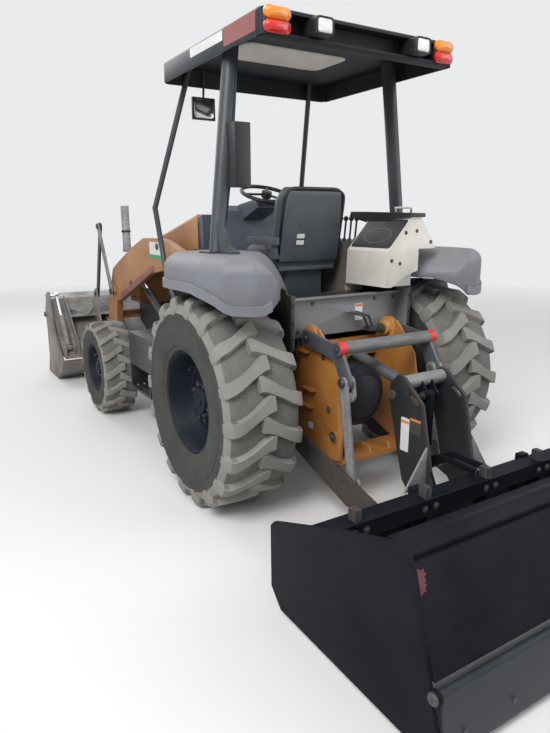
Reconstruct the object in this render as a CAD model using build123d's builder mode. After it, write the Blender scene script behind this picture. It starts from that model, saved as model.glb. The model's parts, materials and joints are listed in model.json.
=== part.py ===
"""Landscape tractor loader with a canopy, a front loader with a two-part bucket and a rear box scraper.

X points forward, Y to the left and Z up, in millimetres. Pieces are drawn from the rear axle's line on the
ground and moved once, when they are written, so that the origin is under the middle of the whole machine.
"""
from math import atan2, cos, degrees, hypot, radians, sin
from build123d import *
import os

os.makedirs("parts", exist_ok=True)

# Driving dimensions
WHEELBASE = 2140
ORIGIN_X = 905            # middle of the machine's length, ahead of the rear axle
REAR_RADIUS = 650
REAR_WIDTH = 470
REAR_Y = 805
REAR_LUGS = 18
FRONT_RADIUS = 415
FRONT_WIDTH = 300
FRONT_Y = 868
FRONT_LUGS = 16
REAR_SHAFT = 38
FRONT_SHAFT = 36
KINGPIN_Y = 640
RAIL_Y = 300
HOOD_HALF = 360
ROOF_REAR = -388
ROOF_FRONT = 969
ROOF_HALF = 691
ROOF_TOP = 2767
ROOF_LOW = 2634
ARM_IN = 500
ARM_OUT = 560
BOOM_PIN = (1120, 1420)
BUCKET_PIN = (3130, 350)
LEVER_PIN = (2830, 1020)
LEVER_TOP = (3150, 1660)
CRANK_PIN = (2924, 1208)
LINK_EYE = (3430, 935)
LIFT_BASE = (1300, 620)
LIFT_EYE = (2300, 1140)
LIFT_Y = 440
TILT_BASE = (1560, 1510)
TILT_Y = 454
CRANK_THICK = 16
LINK_THICK = 16
JAW_PIN = (3850, 690)
BUCKET_HALF = 1060
ROCK_PIN = (-310, 1030)
ROCK_R = 55
LINK_PIN = (-50, 450)
BOX_PIN = (-1120, 180)
MAST_PIN = (-890, 790)
MAST_TUBE = (-935, 862)
ARM_END = (-700, 840)
LINK_EYE_LOW = (-800, 262)
TOP_LINK_PIN = (-340, 900)
BOX_HALF = 1120
FLAP_PIN = (-2146, 262)
PIN_R = 20
RUNNING = 0.05            # radial clearance of a pin that turns
GAP = 6                   # side clearance between pieces that move past each other
SEAT_GAP = 0.3            # side clearance where an opened linkage meets its pin
LINK_Y = ARM_OUT + GAP                # the tilt links pass outside the arms
LEVER_Y = LINK_Y + LINK_THICK + GAP   # the levers and the bucket's ears stand outside the links
EXHAUST = (2900, 384)
RAIL_TOP = 900
FLOOR_TOP = 1075
PANEL_Y = 460             # outer face of the cross panel's brackets, where the arch walls stand
FENDER_IN = 475
FENDER_TOP = 1530
NOSE_TOP = 1400
HOOD_PIN = (1215, 1700)
DRAWBAR_X = -575
DRAWBAR_HOLE = 13         # a 25 mm drawbar pin
EDGE_BOLT_X = 3970
EDGE_BOLT_PITCH = 260
EDGE_BOLT_HOLE = 9.5      # 3/4 inch plough bolts of a bolt-on cutting edge
PLATE_Y = 316             # outer face of the hitch plates
JAW_BASE = (3245, 400)
JAW_EYE = (3690, 915)
JAW_Y = 970
PANEL_REAR = -230         # rear face of the cross panel behind the platform
PANEL_THICK = 12
SHELL = 14                # the fenders' drawn thickness
FENDER_RIM = 1340         # the fenders' lower edge over the tyre
HUB_R = 45                # hubs and discs that carry the rockshaft's arms
DISC_R = 74
STUB_R = 30
STUB_END = 250
RIB = 12                  # plate of the bucket's ribs
DROP_PIN = (-992, 790)    # the scarifier's cylinder hangs from the mast's tube
DROP_EYE = (-992, 370)
DRUM_R = 200              # the transaxle's round housing, seen between the hitch plates


def side_plate(points, y_low, y_high, mode=Mode.ADD):
    """Adds or cuts the plate with this X, Z outline between two Y planes."""
    with BuildSketch(Plane.XZ.offset(-y_high)) as outline:
        with BuildLine():
            Polyline(*points, close=True)
        make_face()
    extrude(outline.sketch, amount=y_high - y_low, mode=mode)


def block(x_low, x_high, y_low, y_high, z_low, z_high, mode=Mode.ADD):
    """Adds or cuts the block between these limits."""
    with Locations(((x_low + x_high) / 2, (y_low + y_high) / 2, (z_low + z_high) / 2)):
        Box(x_high - x_low, y_high - y_low, z_high - z_low, mode=mode)


def cross_bar(pin, radius, y_low, y_high, mode=Mode.ADD):
    """Adds or cuts a round bar across the machine through the X, Z point."""
    with Locations(Location((pin[0], (y_low + y_high) / 2, pin[1]), (90, 0, 0))):
        Cylinder(radius, y_high - y_low, mode=mode)


def bar(start, end, radius, mode=Mode.ADD):
    """Adds or cuts a round bar between two points."""
    a, b = Vector(*start), Vector(*end)
    with BuildSketch(Plane(origin=a, z_dir=b - a)) as section:
        Circle(radius)
    extrude(section.sketch, amount=(b - a).length, mode=mode)


def strap(points, width, y_low, y_high):
    """Adds a flat bar with round ends along the X, Z points."""
    for (xa, za), (xb, zb) in zip(points, points[1:]):
        length = hypot(xb - xa, zb - za)
        angle = degrees(atan2(zb - za, xb - xa))
        with BuildSketch(Plane.XZ.offset(-y_high)) as outline:
            with Locations(Location(((xa + xb) / 2, (za + zb) / 2, 0), (0, 0, angle))):
                SlotCenterToCenter(length, width)
        extrude(outline.sketch, amount=y_high - y_low)


def along(start, end, distance):
    """The X, Z point at a distance from the start towards the end."""
    length = hypot(end[0] - start[0], end[1] - start[1])
    return (start[0] + (end[0] - start[0]) * distance / length,
            start[1] + (end[1] - start[1]) * distance / length)


def hose(points, bend, radius):
    """Adds a round hose along the points, with an arc of this radius at each bend."""
    with BuildLine() as route:
        FilletPolyline(*points, radius=bend)
    with BuildSketch(Plane(origin=route.line @ 0, z_dir=route.line % 0)) as section:
        Circle(radius)
    sweep(section.sketch, path=route.line)


def at_y(pin, y):
    """The X, Z point as a point in space."""
    return (pin[0], y, pin[1])


def pair(y_low, y_high):
    """The Y limits of a piece on the left and of its twin on the right."""
    return ((y_low, y_high), (-y_high, -y_low))


def save(piece, name):
    """Moves a finished piece to the machine's origin and writes it."""
    moved = piece.part.moved(Location((-ORIGIN_X, 0, 0)))
    moved.label = name
    export_step(moved, "parts/" + name + ".step")


# Tyres: a carcass turned about the axle with angled lugs inside a rounded envelope
def make_tyre(radius, width, rim, lugs, depth, lug_width):
    """Returns a tyre centred on the origin with its axle along Y, to be placed at both sides."""
    half = width / 2
    with BuildPart() as envelope:
        with BuildSketch(Plane.XY):
            with BuildLine():
                Polyline((-half, 0), (-half, radius - depth * 2.2), (-half * 0.8, radius - 4), (0, radius),
                         (half * 0.8, radius - 4), (half, radius - depth * 2.2), (half, 0), close=True)
            make_face()
        revolve(axis=Axis.X)
    with BuildPart() as carcass:
        with BuildSketch(Plane.XY):
            with BuildLine():
                Polyline((-half + 26, rim), (-half + 2, rim + (radius - rim) * 0.42), (-half + 14, radius - depth * 1.9),
                         (-half * 0.72, radius - depth), (half * 0.72, radius - depth),
                         (half - 14, radius - depth * 1.9), (half - 2, rim + (radius - rim) * 0.42), (half - 26, rim),
                         close=True)
            make_face()
        revolve(axis=Axis.X)
    with BuildPart() as lug_ring:
        reach = half * 0.95
        for side in (1, -1):
            for index in range(lugs):
                turn = 360 / lugs * (index + (0.5 if side < 0 else 0))
                plane = Plane(origin=(0, 0, 0), x_dir=(1, 0, 0), z_dir=(0, -sin(radians(turn)), cos(radians(turn))))
                with BuildSketch(plane.offset(radius - depth * 3.4)):
                    with BuildLine():
                        Polyline((side * half * 1.02, -reach * 0.62 - lug_width * 0.5),
                                 (side * half * 1.02, -reach * 0.62 + lug_width * 0.55),
                                 (side * half * 0.62, -reach * 0.35 + lug_width * 0.6),
                                 (side * half * 0.12, reach * 0.18 + lug_width * 0.5),
                                 (-side * half * 0.16, reach * 0.18 + lug_width * 0.4),
                                 (-side * half * 0.16, reach * 0.18 - lug_width * 0.35),
                                 (side * half * 0.10, reach * 0.06 - lug_width * 0.3),
                                 (side * half * 0.62, -reach * 0.42 - lug_width * 0.45), close=True)
                    make_face()
                extrude(amount=depth * 3.4 + 6)
    with BuildPart() as tyre:
        add(lug_ring.part)
        add(envelope.part, mode=Mode.INTERSECT)
        add(carcass.part)
        with Locations(Location((0, 0, 0), (0, 90, 0))):
            Cylinder(rim, width * 1.2, mode=Mode.SUBTRACT)
    return tyre.part.rotate(Axis.Z, 90)


def make_rim(rim, width, dish, hub, hub_reach, shaft):
    """Returns a rim with its disc and hub on the origin, its outer side towards +Y."""
    half = width / 2
    with BuildPart() as wheel:
        with BuildSketch(Plane.XY):
            with BuildLine():
                Polyline((-half + 8, rim - 0.3), (-half + 8, rim - 22), (-half * 0.35, rim - 60),
                         (dish - 6, rim - 66), (dish - 6, shaft), (dish + 12, shaft), (dish + 12, rim - 70),
                         (half * 0.45, rim - 56), (half - 8, rim - 22), (half - 8, rim - 0.3), close=True)
            make_face()
        revolve(axis=Axis.X)
        with Locations(Location((dish + hub_reach / 2, 0, 0), (0, 90, 0))):
            Cylinder(hub, hub_reach)
        with Locations(Location((dish + hub_reach + 12, 0, 0), (0, 90, 0))):
            Cylinder(hub * 0.7, 24)
        with Locations(Location((dish + hub_reach / 2 - 20, 0, 0), (0, 90, 0))):
            Cylinder(shaft + RUNNING, hub_reach, mode=Mode.SUBTRACT)
    return wheel.part.rotate(Axis.Z, 90)


rear_tyre = make_tyre(REAR_RADIUS, REAR_WIDTH, 318, REAR_LUGS, 32, 62)
front_tyre = make_tyre(FRONT_RADIUS, FRONT_WIDTH, 216, FRONT_LUGS, 22, 44)
rear_rim = make_rim(318, 400, 40, 120, 70, REAR_SHAFT)
front_rim = make_rim(216, 256, 30, 90, 60, FRONT_SHAFT)
# Each wheel: name, X of its axle, Y, radius, tyre and rim
WHEELS = [
    ("rear", 0, REAR_Y, REAR_RADIUS, rear_tyre, rear_rim),
    ("front", WHEELBASE, FRONT_Y, FRONT_RADIUS, front_tyre, front_rim),
]
for name, axle_x, wheel_y, radius, tyre, rim in WHEELS:
    with BuildPart() as tyre_left:
        add(tyre.moved(Location((axle_x, wheel_y, radius))))
    save(tyre_left, name + "_tyre_left")
    with BuildPart() as tyre_right:
        add(tyre.moved(Location((axle_x, wheel_y, radius))).mirror(Plane.XZ))
    save(tyre_right, name + "_tyre_right")
    with BuildPart() as rim_left:
        add(rim.moved(Location((axle_x, wheel_y, radius))))
    save(rim_left, name + "_rim_left")
    with BuildPart() as rim_right:
        add(rim.moved(Location((axle_x, wheel_y, radius))).mirror(Plane.XZ))
    save(rim_right, name + "_rim_right")

# Main frame: two rails, cross members, loader towers and the front axle's carrier
with BuildPart() as main_frame:
    side_plate([(-180, 760), (700, 700), (1250, 620), (2700, 620), (2860, 700), (2860, RAIL_TOP), (1000, RAIL_TOP),
                (700, 930), (-180, 960)], RAIL_Y - 30, RAIL_Y)
    side_plate([(1010, 700), (1400, 560), (1420, 900), (1260, 1480), (1180, 1500), (1060, 1500), (980, 1420),
                (1000, 900)], RAIL_Y + 76, RAIL_Y + 94)
    block(1040, 1380, RAIL_Y, RAIL_Y + 76, 720, 880)
    cross_bar(LIFT_BASE, PIN_R, RAIL_Y, LIFT_Y + 30)
    cross_bar(BOOM_PIN, 32, RAIL_Y + 74, ARM_OUT + 12)
    side_plate([(1960, 540), (2320, 540), (2280, 640), (2000, 640)], RAIL_Y - 30, RAIL_Y)
    mirror(about=Plane.XZ)
    block(1100, 1240, -RAIL_Y + 30, RAIL_Y - 30, 700, 880)
    block(2000, 2280, -RAIL_Y + 30, RAIL_Y - 30, 560, 640)
    block(2760, 2840, -RAIL_Y + 30, RAIL_Y - 30, 640, 880)
    block(-160, -60, -RAIL_Y + 30, RAIL_Y - 30, 840, 930)
save(main_frame, "main_frame")

# Both axles: the front beam with its kingpin yokes and the rear transaxle with its round housing
with BuildPart() as axles:
    block(2080, 2200, -KINGPIN_Y + 75, KINGPIN_Y - 75, 360, 470)
    with Locations((2140, 0, 445)):
        Cylinder(120, 230)
    for side in (1, -1):
        block(2085, 2195, min(side * (KINGPIN_Y - 80), side * (KINGPIN_Y + 40)),
              max(side * (KINGPIN_Y - 80), side * (KINGPIN_Y + 40)), 492, 524)
        block(2085, 2195, min(side * (KINGPIN_Y - 80), side * (KINGPIN_Y + 40)),
              max(side * (KINGPIN_Y - 80), side * (KINGPIN_Y + 40)), 306, 338)
        block(2085, 2195, min(side * (KINGPIN_Y - 80), side * (KINGPIN_Y - 62)),
              max(side * (KINGPIN_Y - 80), side * (KINGPIN_Y - 62)), 306, 524)
        bar((2140, side * KINGPIN_Y, 300), (2140, side * KINGPIN_Y, 375), 22)
        bar((2140, side * KINGPIN_Y, 455), (2140, side * KINGPIN_Y, 530), 22)
    bar((0, -REAR_Y + 70, REAR_RADIUS), (0, REAR_Y - 70, REAR_RADIUS), 95)
    bar((0, -REAR_Y - 75, REAR_RADIUS), (0, REAR_Y + 75, REAR_RADIUS), REAR_SHAFT)
    with Locations((0, 0, REAR_RADIUS + 10)):
        Box(420, 360, 260)
    bar((-120, 0, REAR_RADIUS - 15), (-400, 0, REAR_RADIUS - 15), DRUM_R)
    bar((-395, 0, REAR_RADIUS - 15), (-440, 0, REAR_RADIUS - 15), DRUM_R * 0.7)
    block(-150, 150, -RAIL_Y + 30, RAIL_Y - 30, 770, 820)
    block(200, 1000, -150, 150, 600, 760)
save(axles, "axles")

# Engine: one plain block at its real size and place
with BuildPart() as engine:
    block(1330, 2180, -215, 215, 640, 1260)
save(engine, "engine_block")

# Knuckles: an upright that turns between the yokes and a stub that carries the front wheel
for side, word in ((1, "left"), (-1, "right")):
    with BuildPart() as knuckle:
        bar((2140, side * KINGPIN_Y, 345), (2140, side * KINGPIN_Y, 485), 52)
        bar((2140, side * KINGPIN_Y, FRONT_RADIUS), (2140, side * (FRONT_Y + 60), FRONT_RADIUS), FRONT_SHAFT)
        bar((2140, side * KINGPIN_Y, 340), (2140, side * KINGPIN_Y, 377), 22 + RUNNING, mode=Mode.SUBTRACT)
        bar((2140, side * KINGPIN_Y, 453), (2140, side * KINGPIN_Y, 490), 22 + RUNNING, mode=Mode.SUBTRACT)
    save(knuckle, "knuckle_" + word)

# Hood: a sloping shell, open below, hinged at its rear edge
with BuildPart() as hood:
    side_plate([(1190, 1330), (1190, 1735), (1230, 1765), (2500, 1480), (2680, 1450), (2740, NOSE_TOP + SEAT_GAP),
                (2650, NOSE_TOP + SEAT_GAP), (2598, 1210)], -HOOD_HALF, HOOD_HALF)
    fillet(hood.edges().filter_by(lambda e: e.center().Z > 1500 and abs(e.center().Y) > 300 and e.center().X > 1240), 30)
    side_plate([(1180, 1200), (1180, 1722), (1202, 1736), (1236, 1752), (2496, 1468), (2672, 1438), (2712, NOSE_TOP),
                (2712, 1200)], -HOOD_HALF + 14, HOOD_HALF - 14, mode=Mode.SUBTRACT)
    for low, high in pair(236, 250):
        side_plate([(1204, 1728), (1236, 1758), (1290, 1745), (1232, 1682), (1204, 1682)], low, high)
    cross_bar(HOOD_PIN, 8 + RUNNING, -260, 260, mode=Mode.SUBTRACT)
save(hood, "hood")

# Radiator shell: a box open to the front with a grille of upright bars
with BuildPart() as nose:
    block(2662, 2950, -HOOD_HALF, HOOD_HALF, RAIL_TOP, NOSE_TOP)
    block(2700, 2970, -HOOD_HALF + 30, HOOD_HALF - 30, 940, 1365, mode=Mode.SUBTRACT)
    for index in range(11):
        block(2900, 2916, -300 + 60 * index - 6, -300 + 60 * index + 6, 930, 1375)
save(nose, "grille_nose")

# Exhaust: a stack on a base beside the hood's front
with BuildPart() as exhaust:
    bar((*EXHAUST, NOSE_TOP + 5), (*EXHAUST, NOSE_TOP + 50), 44)
    bar((*EXHAUST, NOSE_TOP + 40), (*EXHAUST, 1862), 40)
    bar((*EXHAUST, NOSE_TOP + 60), (*EXHAUST, 1900), 34, mode=Mode.SUBTRACT)
    bar((2860, 300, NOSE_TOP), (2860, 300, NOSE_TOP + 36), 30)
    block(2835, 2935, 270, EXHAUST[1], NOSE_TOP + 5, NOSE_TOP + 40)
save(exhaust, "exhaust_stack")

# Cowl behind the hood with the instrument pod and the steering column
with BuildPart() as cowl:
    side_plate([(1150, 1300), (1150, 1800), (1040, 1830), (960, 1790), (860, 1500), (830, FLOOR_TOP), (960, FLOOR_TOP),
                (1080, 1300)], -230, 230)
    side_plate([(1168, RAIL_TOP), (1168, 1740), (1100, 1760), (1060, RAIL_TOP)], -360, 360)
    fillet(cowl.edges().filter_by(Axis.Y).filter_by(lambda e: e.center().X < 1000 and e.center().Z > 1780), 14)
    for low, high in pair(206, 230):
        side_plate([(1160, 1610), (1160, 1662), (1196, 1692), (1200, 1716), (1222, 1722), (1238, 1708), (1236, 1686)],
                   low, high)
    for low, high in pair(220, 256):
        cross_bar(HOOD_PIN, 8, low, high)
    side_plate([(1000, 1700), (700, 1810), (740, 1870), (1000, 1835)], -95, 95)
    bar((769, 0, 1800), (738.6, 0, 1884), 26)
save(cowl, "cowl")

# Steering wheel: rim, hub and three spokes in a tilted plane
STEERING_TILT = 20
STEERING_CENTRE = (731, 0, 1905)
with BuildPart() as steering_wheel:
    tilted = Plane(origin=STEERING_CENTRE, x_dir=(cos(radians(STEERING_TILT)), 0, sin(radians(STEERING_TILT))),
                   z_dir=(-sin(radians(STEERING_TILT)), 0, cos(radians(STEERING_TILT))))
    with Locations(tilted):
        Torus(188, 14)
        Cylinder(38, 44)
        with PolarLocations(0, 3, 90):
            with Locations((96, 0, 0)):
                Box(176, 20, 12)
save(steering_wheel, "steering_wheel")

# Platform between the fenders with inner arch walls, and the side boxes with their steps
with BuildPart() as platform:
    block(120, 970, -PANEL_Y, PANEL_Y, 1040, FLOOR_TOP)
    block(PANEL_REAR + PANEL_THICK, 140, -PANEL_Y, PANEL_Y, 1040, 1230)
    for low, high in pair(PANEL_Y, FENDER_IN):
        side_plate([(-330, 960), (-330, 1290), (-285, 1296), (-200, 1400), (-100, 1440), (540, 1440), (640, 1200),
                    (640, 960)], low, high)
    for low, high in pair(350, 700):
        block(900, 970, low, high, 985, 1010)
    for low, high in pair(RAIL_Y, 490):
        block(820, 840, low, high, 700, 985)
        block(950, 970, low, high, 700, 1045)
    for low, high in pair(490, 850):
        block(820, 1560, low, high, 560, 830)
    for y in (720, 775, 830):
        block(1100, 1560, y - 18, y + 18, 350, 370)
    block(1100, 1120, 700, 850, 370, 560)
    block(1540, 1560, 700, 850, 370, 560)
    block(200, 260, -RAIL_Y + 30, RAIL_Y - 30, 930, 1045)
save(platform, "platform_and_boxes")

# Fenders: bulbs with a rounded plan over the rear wheels, open below and cut low at the rear outer corner
def fender_bulb(inset, z_low):
    """Returns the left fender's form down to this height, drawn in from its face by the inset."""
    top = FENDER_TOP - inset
    with BuildPart() as bulb:
        with BuildSketch(Plane.XY.offset(z_low)) as plan:
            with BuildLine():
                Polyline((560, FENDER_IN), (545, 700), (440, 920), (200, 1040), (-260, 1040), (-470, 985), (-560, 840),
                         (-555, 690), (-400, 590), (-285, FENDER_IN), close=True)
            make_face()
            fillet(plan.vertices().filter_by(lambda v: v.Y > FENDER_IN + 200 and v.X < 545), 90)
            if inset:
                offset(amount=-inset)
        extrude(amount=top - z_low)
        rim = bulb.edges().group_by(Axis.Z)[-1]
        fillet(rim.filter_by(lambda e: e.center().Y > FENDER_IN + inset + 1), 88 - inset)
        with BuildSketch(Plane.XZ.offset(1 - FENDER_IN)) as fall:
            with BuildLine():
                ThreePointArc((120, top), (-140, 1466 - inset), (-292 + inset, 1290 - inset))
                Polyline((-292 + inset, 1290 - inset), (-900, 1290 - inset), (-900, top + 5), (120, top + 5), (120, top))
            make_face()
        extrude(fall.sketch, amount=700, dir=(-0.83, 0.56, 0), mode=Mode.SUBTRACT)
    return bulb.part


with BuildPart() as fenders:
    add(fender_bulb(0, 1226))
    add(fender_bulb(SHELL, 1190), mode=Mode.SUBTRACT)
    side_plate([(700, 1180), (700, FENDER_RIM - 10), (-200, FENDER_RIM), (-400, 1300), (-500, 1240), (-700, 1232),
                (-700, 1180)], FENDER_IN - 5, 1100, mode=Mode.SUBTRACT)
    with BuildSketch(Plane.YZ.offset(-700)) as corner:
        with BuildLine():
            Polyline((FENDER_IN - 5, 1180), (FENDER_IN - 5, 1350), (600, 1345), (690, 1300), (780, 1232), (780, 1180),
                     close=True)
        make_face()
    extrude(corner.sketch, amount=418, mode=Mode.SUBTRACT)
    mirror(about=Plane.XZ)
save(fenders, "fenders")

# Seat: cushion and back shell on a pedestal
with BuildPart() as seat:
    side_plate([(200, 1410), (650, 1430), (672, 1500), (610, 1530), (260, 1500), (180, 1480)], -240, 240)
    side_plate([(176, 1450), (262, 1470), (222, 1890), (172, 1930), (90, 1900), (92, 1870)], -240, 240)
    corners = seat.edges().filter_by(Axis.X, reverse=True).filter_by(lambda e: e.center().Z > 1850 and abs(e.center().Y) > 200)
    fillet(corners, 60)
    block(190, 620, -225, 225, 1388, 1412)
    block(230, 560, -145, 145, FLOOR_TOP, 1390)
    block(150, 510, 252, 304, 1560, 1610)
    block(170, 240, 225, 304, 1470, 1600)
save(seat, "seat")

# Control console at the right of the seat: a slanted body that overhangs the fender, with a pod, levers and a handle
with BuildPart() as console:
    with BuildSketch(Plane.YZ.offset(-400)) as body:
        with BuildLine():
            Polyline((-196, 1526), (-384, 1735), (-460, 1735), (-600, 1560), (-600, FENDER_TOP + 8),
                     (4 - PANEL_Y, FENDER_TOP + 8), (4 - PANEL_Y, 1400), (-365, 1376), (-234, 1302), (-186, 1305),
                     close=True)
        make_face()
    extrude(body.sketch, amount=400)
    side_plate([(-340, 1300), (560, 1250), (560, 1590), (-340, 1540)], -PANEL_Y + 4, -300)
    block(150, 560, -PANEL_Y + 4, -300, FLOOR_TOP, 1290)
    side_plate([(-410, 1735), (-410, 1760), (180, 1775), (190, 1740), (0, 1700)], -490, -360)
    for x in (-330, -190):
        bar((x, -440, 1750), (x, -440, 1800), 7)
    bar((-337, -440, 1795), (-183, -440, 1795), 7)
    for index in range(5):
        bar((150 + 60 * index, -375, 1555), (130 + 60 * index, -375, 1720), 7)
        with Locations((130 + 60 * index, -375, 1728)):
            Sphere(18)
save(console, "console")

# Canopy frame: posts, rear cross panel and its side brackets
with BuildPart() as canopy_frame:
    for side in (1, -1):
        bar((90, side * 745, 1480), (116, side * 590, ROOF_LOW + 80), 46)
        knee, shin = (1280, side * 668, 1815), (1165, side * 650, 1340)
        bar(knee, (898, side * 498, ROOF_LOW + 80), 20)
        bar(knee, shin, 20)
        bar(shin, (960, side * 640, 1020), 20)
        with Locations(knee, shin):
            Sphere(22)
        block(920, 968, side * 640 - 30, side * 640 + 30, 1010, 1045)
        block(20, 170, side * 740 - 80, side * 740 + 80, FENDER_TOP, FENDER_TOP + 10)
    for low, high in pair(690, 750):
        side_plate([(150, FENDER_TOP), (-120, FENDER_TOP), (-120, 1542), (-60, 1556), (0, 1582), (40, 1630), (60, 1700),
                    (150, 1700)], low, high)
    block(-70, 70, 566, 668, 1910, 2266)
    block(946, 962, 300, 477, 2420, 2570)
    bar((954, 388, 2560), (930, 388, 2690), 8)
    block(-500, 500, -900, 900, 1400, FENDER_TOP, mode=Mode.SUBTRACT)
    block(-500, 1500, -900, 900, ROOF_LOW + 40, ROOF_LOW + 200, mode=Mode.SUBTRACT)
    block(PANEL_REAR, PANEL_REAR + PANEL_THICK, -446, 446, 1016, 1250)
    block(PANEL_REAR - 30, PANEL_REAR + PANEL_THICK, -446, 446, 1250, 1260)
    for low, high in pair(446, PANEL_Y):
        block(PANEL_REAR - 100, PANEL_REAR + PANEL_THICK, low, high, 965, 1290)
    rear = PANEL_REAR
    for x, y in ((rear - 12, -20), (rear - 12, -60)):
        hose([(rear + 2, y, 1150), (x - 40, y, 1150), (x - 50, y - 90, 1120), (x - 40, y - 140, 1036)], 22, 8)
    block(rear - 70, rear + 2, -225, -165, 1016, 1040)
save(canopy_frame, "canopy_frame")

# Canopy roof: a deep tray, open below
with BuildPart() as roof:
    block(ROOF_REAR, ROOF_FRONT, -ROOF_HALF, ROOF_HALF, ROOF_LOW, ROOF_TOP)
    fillet(roof.edges().filter_by(Axis.Z), 60)
    fillet(roof.edges().group_by(Axis.Z)[-1], 25)
    block(ROOF_REAR + 12, ROOF_FRONT - 12, -ROOF_HALF + 12, ROOF_HALF - 12, ROOF_LOW - 5, ROOF_LOW + 40, mode=Mode.SUBTRACT)
    block(ROOF_REAR - 5, ROOF_REAR + 10, -ROOF_HALF + 72, ROOF_HALF - 72, ROOF_LOW + 14, ROOF_TOP - 26, mode=Mode.SUBTRACT)
save(roof, "canopy_roof")

# Roof lamps on the rear face: two work lamps, and amber over red markers at the corners
with BuildPart() as work_lamps:
    for y in (350, -350):
        block(ROOF_REAR - 70, ROOF_REAR + 10, y - 55, y + 55, 2652, 2738)
save(work_lamps, "work_lamps")
with BuildPart() as marker_lamps:
    for y in (545, -545):
        block(ROOF_REAR - 30, ROOF_REAR + 10, y - 70, y + 70, 2700, 2738)
        block(ROOF_REAR - 24, ROOF_REAR + 10, y - 50, y + 50, 2652, 2690)
save(marker_lamps, "marker_lamps")

# Hitch carrier: two big plates with discs and hubs for the rockshaft's arms, fins and a bottom cross piece
with BuildPart() as hitch_plates:
    for low, high in pair(RAIL_Y, PLATE_Y):
        side_plate([(-160, 1000), (-240, 1008), (-272, 1085), (-390, 1085), (-440, 1040), (-560, 900), (-640, 520),
                    (-620, 330), (-420, 290), (-60, 420), (-60, 545), (-100, 560)], low, high)
    for low, high in pair(RAIL_Y - 8, PLATE_Y + 8):
        cross_bar(ROCK_PIN, DISC_R, low, high)
    for low, high in pair(STUB_END + 8, RAIL_Y):
        cross_bar(ROCK_PIN, HUB_R, low, high)
    for low, high in pair(RAIL_Y, PLATE_Y + 10):
        cross_bar((-560, 470), 34, low, high)
    for low, high in pair(PLATE_Y, PLATE_Y + 32):
        for x, z in ((-230, 930), (-300, 700), (-280, 590)):
            block(x - 70, x + 50, low, high, z, z + 12)
    for low, high in pair(RAIL_Y, 425):
        cross_bar(LINK_PIN, 22, low, high)
    block(-620, -430, -RAIL_Y, RAIL_Y, 300, 330)
    for y in (-225, -75, 75, 225):
        side_plate([(-620, 328), (-600, 372), (-520, 372), (-440, 328)], y - 7, y + 7)
    for low, high in pair(40, 55):
        side_plate([(-200, 960), (-200, 855), (-330, 862), (-372, 900), (-330, 940)], low, high)
    block(-212, -182, -RAIL_Y, RAIL_Y, 845, 970)
    cross_bar(TOP_LINK_PIN, 16, -60, 60)
    for low, high in pair(STUB_END - 5, PLATE_Y + 20):
        cross_bar(ROCK_PIN, STUB_R + RUNNING, low, high, mode=Mode.SUBTRACT)
    bar((DRAWBAR_X, 0, 290), (DRAWBAR_X, 0, 340), DRAWBAR_HOLE, mode=Mode.SUBTRACT)
save(hitch_plates, "hitch_plates")

# Loader arms: two boomerang plates with bosses, joined by a cross tube below the nose
with BuildPart() as loader_arms:
    side_plate([(1075, 1490), (1400, 1566), (1510, 1576), (1897, 1571), (2247, 1472), (2750, 1290), (2860, 1240),
                (3000, 1010), (3150, 670), (3190, 400), (3190, 310), (3070, 300), (2842, 650), (2775, 940),
                (2718, 931), (1790, 1268), (1400, 1330), (1060, 1360)], ARM_IN, ARM_OUT)
    cross_bar(BOOM_PIN, 80, ARM_IN, ARM_OUT)
    cross_bar(BUCKET_PIN, 62, ARM_IN, LEVER_Y - GAP)
    cross_bar(LEVER_PIN, 46, ARM_IN, LEVER_Y - GAP)
    cross_bar(TILT_BASE, PIN_R, TILT_Y - 20, ARM_IN)
    side_plate([(1660, 1305), (1680, 1345), (1800, 1312), (2590, 1030), (2640, 985), (2600, 948), (2560, 980)],
               ARM_OUT - 20, ARM_OUT + 8)
    cross_bar(BOOM_PIN, 32 + RUNNING, ARM_IN, ARM_OUT, mode=Mode.SUBTRACT)
    cross_bar(BUCKET_PIN, PIN_R + 5 + RUNNING, ARM_IN, LEVER_Y, mode=Mode.SUBTRACT)
    cross_bar(LEVER_PIN, PIN_R + 5 + RUNNING, ARM_IN, LEVER_Y, mode=Mode.SUBTRACT)
    mirror(about=Plane.XZ)
    cross_bar((2960, 760), 48, -ARM_IN, ARM_IN)
save(loader_arms, "loader_arms")


def cylinder_barrels(start, end, y, radius, length, eye, rod):
    """Returns both barrels of a pair of cylinders with their base eyes, hollow for the rods."""
    with BuildPart() as barrels:
        tail = along(start, end, eye - 6)
        mouth = along(start, end, length)
        bar(at_y(tail, y), at_y(mouth, y), radius)
        cross_bar(start, eye, y - 16, y + 16)
        bar(at_y(along(start, end, eye + 40), y), at_y(along(start, end, length + 5), y), rod + 0.3, mode=Mode.SUBTRACT)
        cross_bar(start, PIN_R + RUNNING, y - 40, y + 40, mode=Mode.SUBTRACT)
        mirror(about=Plane.XZ)
    return barrels


def cylinder_rods(start, end, y, reach, eye, rod, pin_y):
    """Returns both rods of a pair of cylinders; each eye's pin ends beside the piece that it moves."""
    with BuildPart() as rods:
        bar(at_y(along(start, end, reach), y), at_y(along(end, start, eye - 4), y), rod)
        cross_bar(end, eye, y - 18, y + 18)
        cross_bar(end, PIN_R, y - 22, pin_y - SEAT_GAP)
        mirror(about=Plane.XZ)
    return rods


save(cylinder_barrels(LIFT_BASE, LIFT_EYE, LIFT_Y, 38, 985, 38, 22), "lift_barrels")
save(cylinder_rods(LIFT_BASE, LIFT_EYE, LIFT_Y, 110, 38, 22, ARM_IN), "lift_rods")
save(cylinder_barrels(TILT_BASE, CRANK_PIN, TILT_Y, 28, 880, 34, 16), "tilt_barrels")
save(cylinder_rods(TILT_BASE, CRANK_PIN, TILT_Y, 420, 34, 16, ARM_IN - GAP - CRANK_THICK), "tilt_rods")

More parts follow.
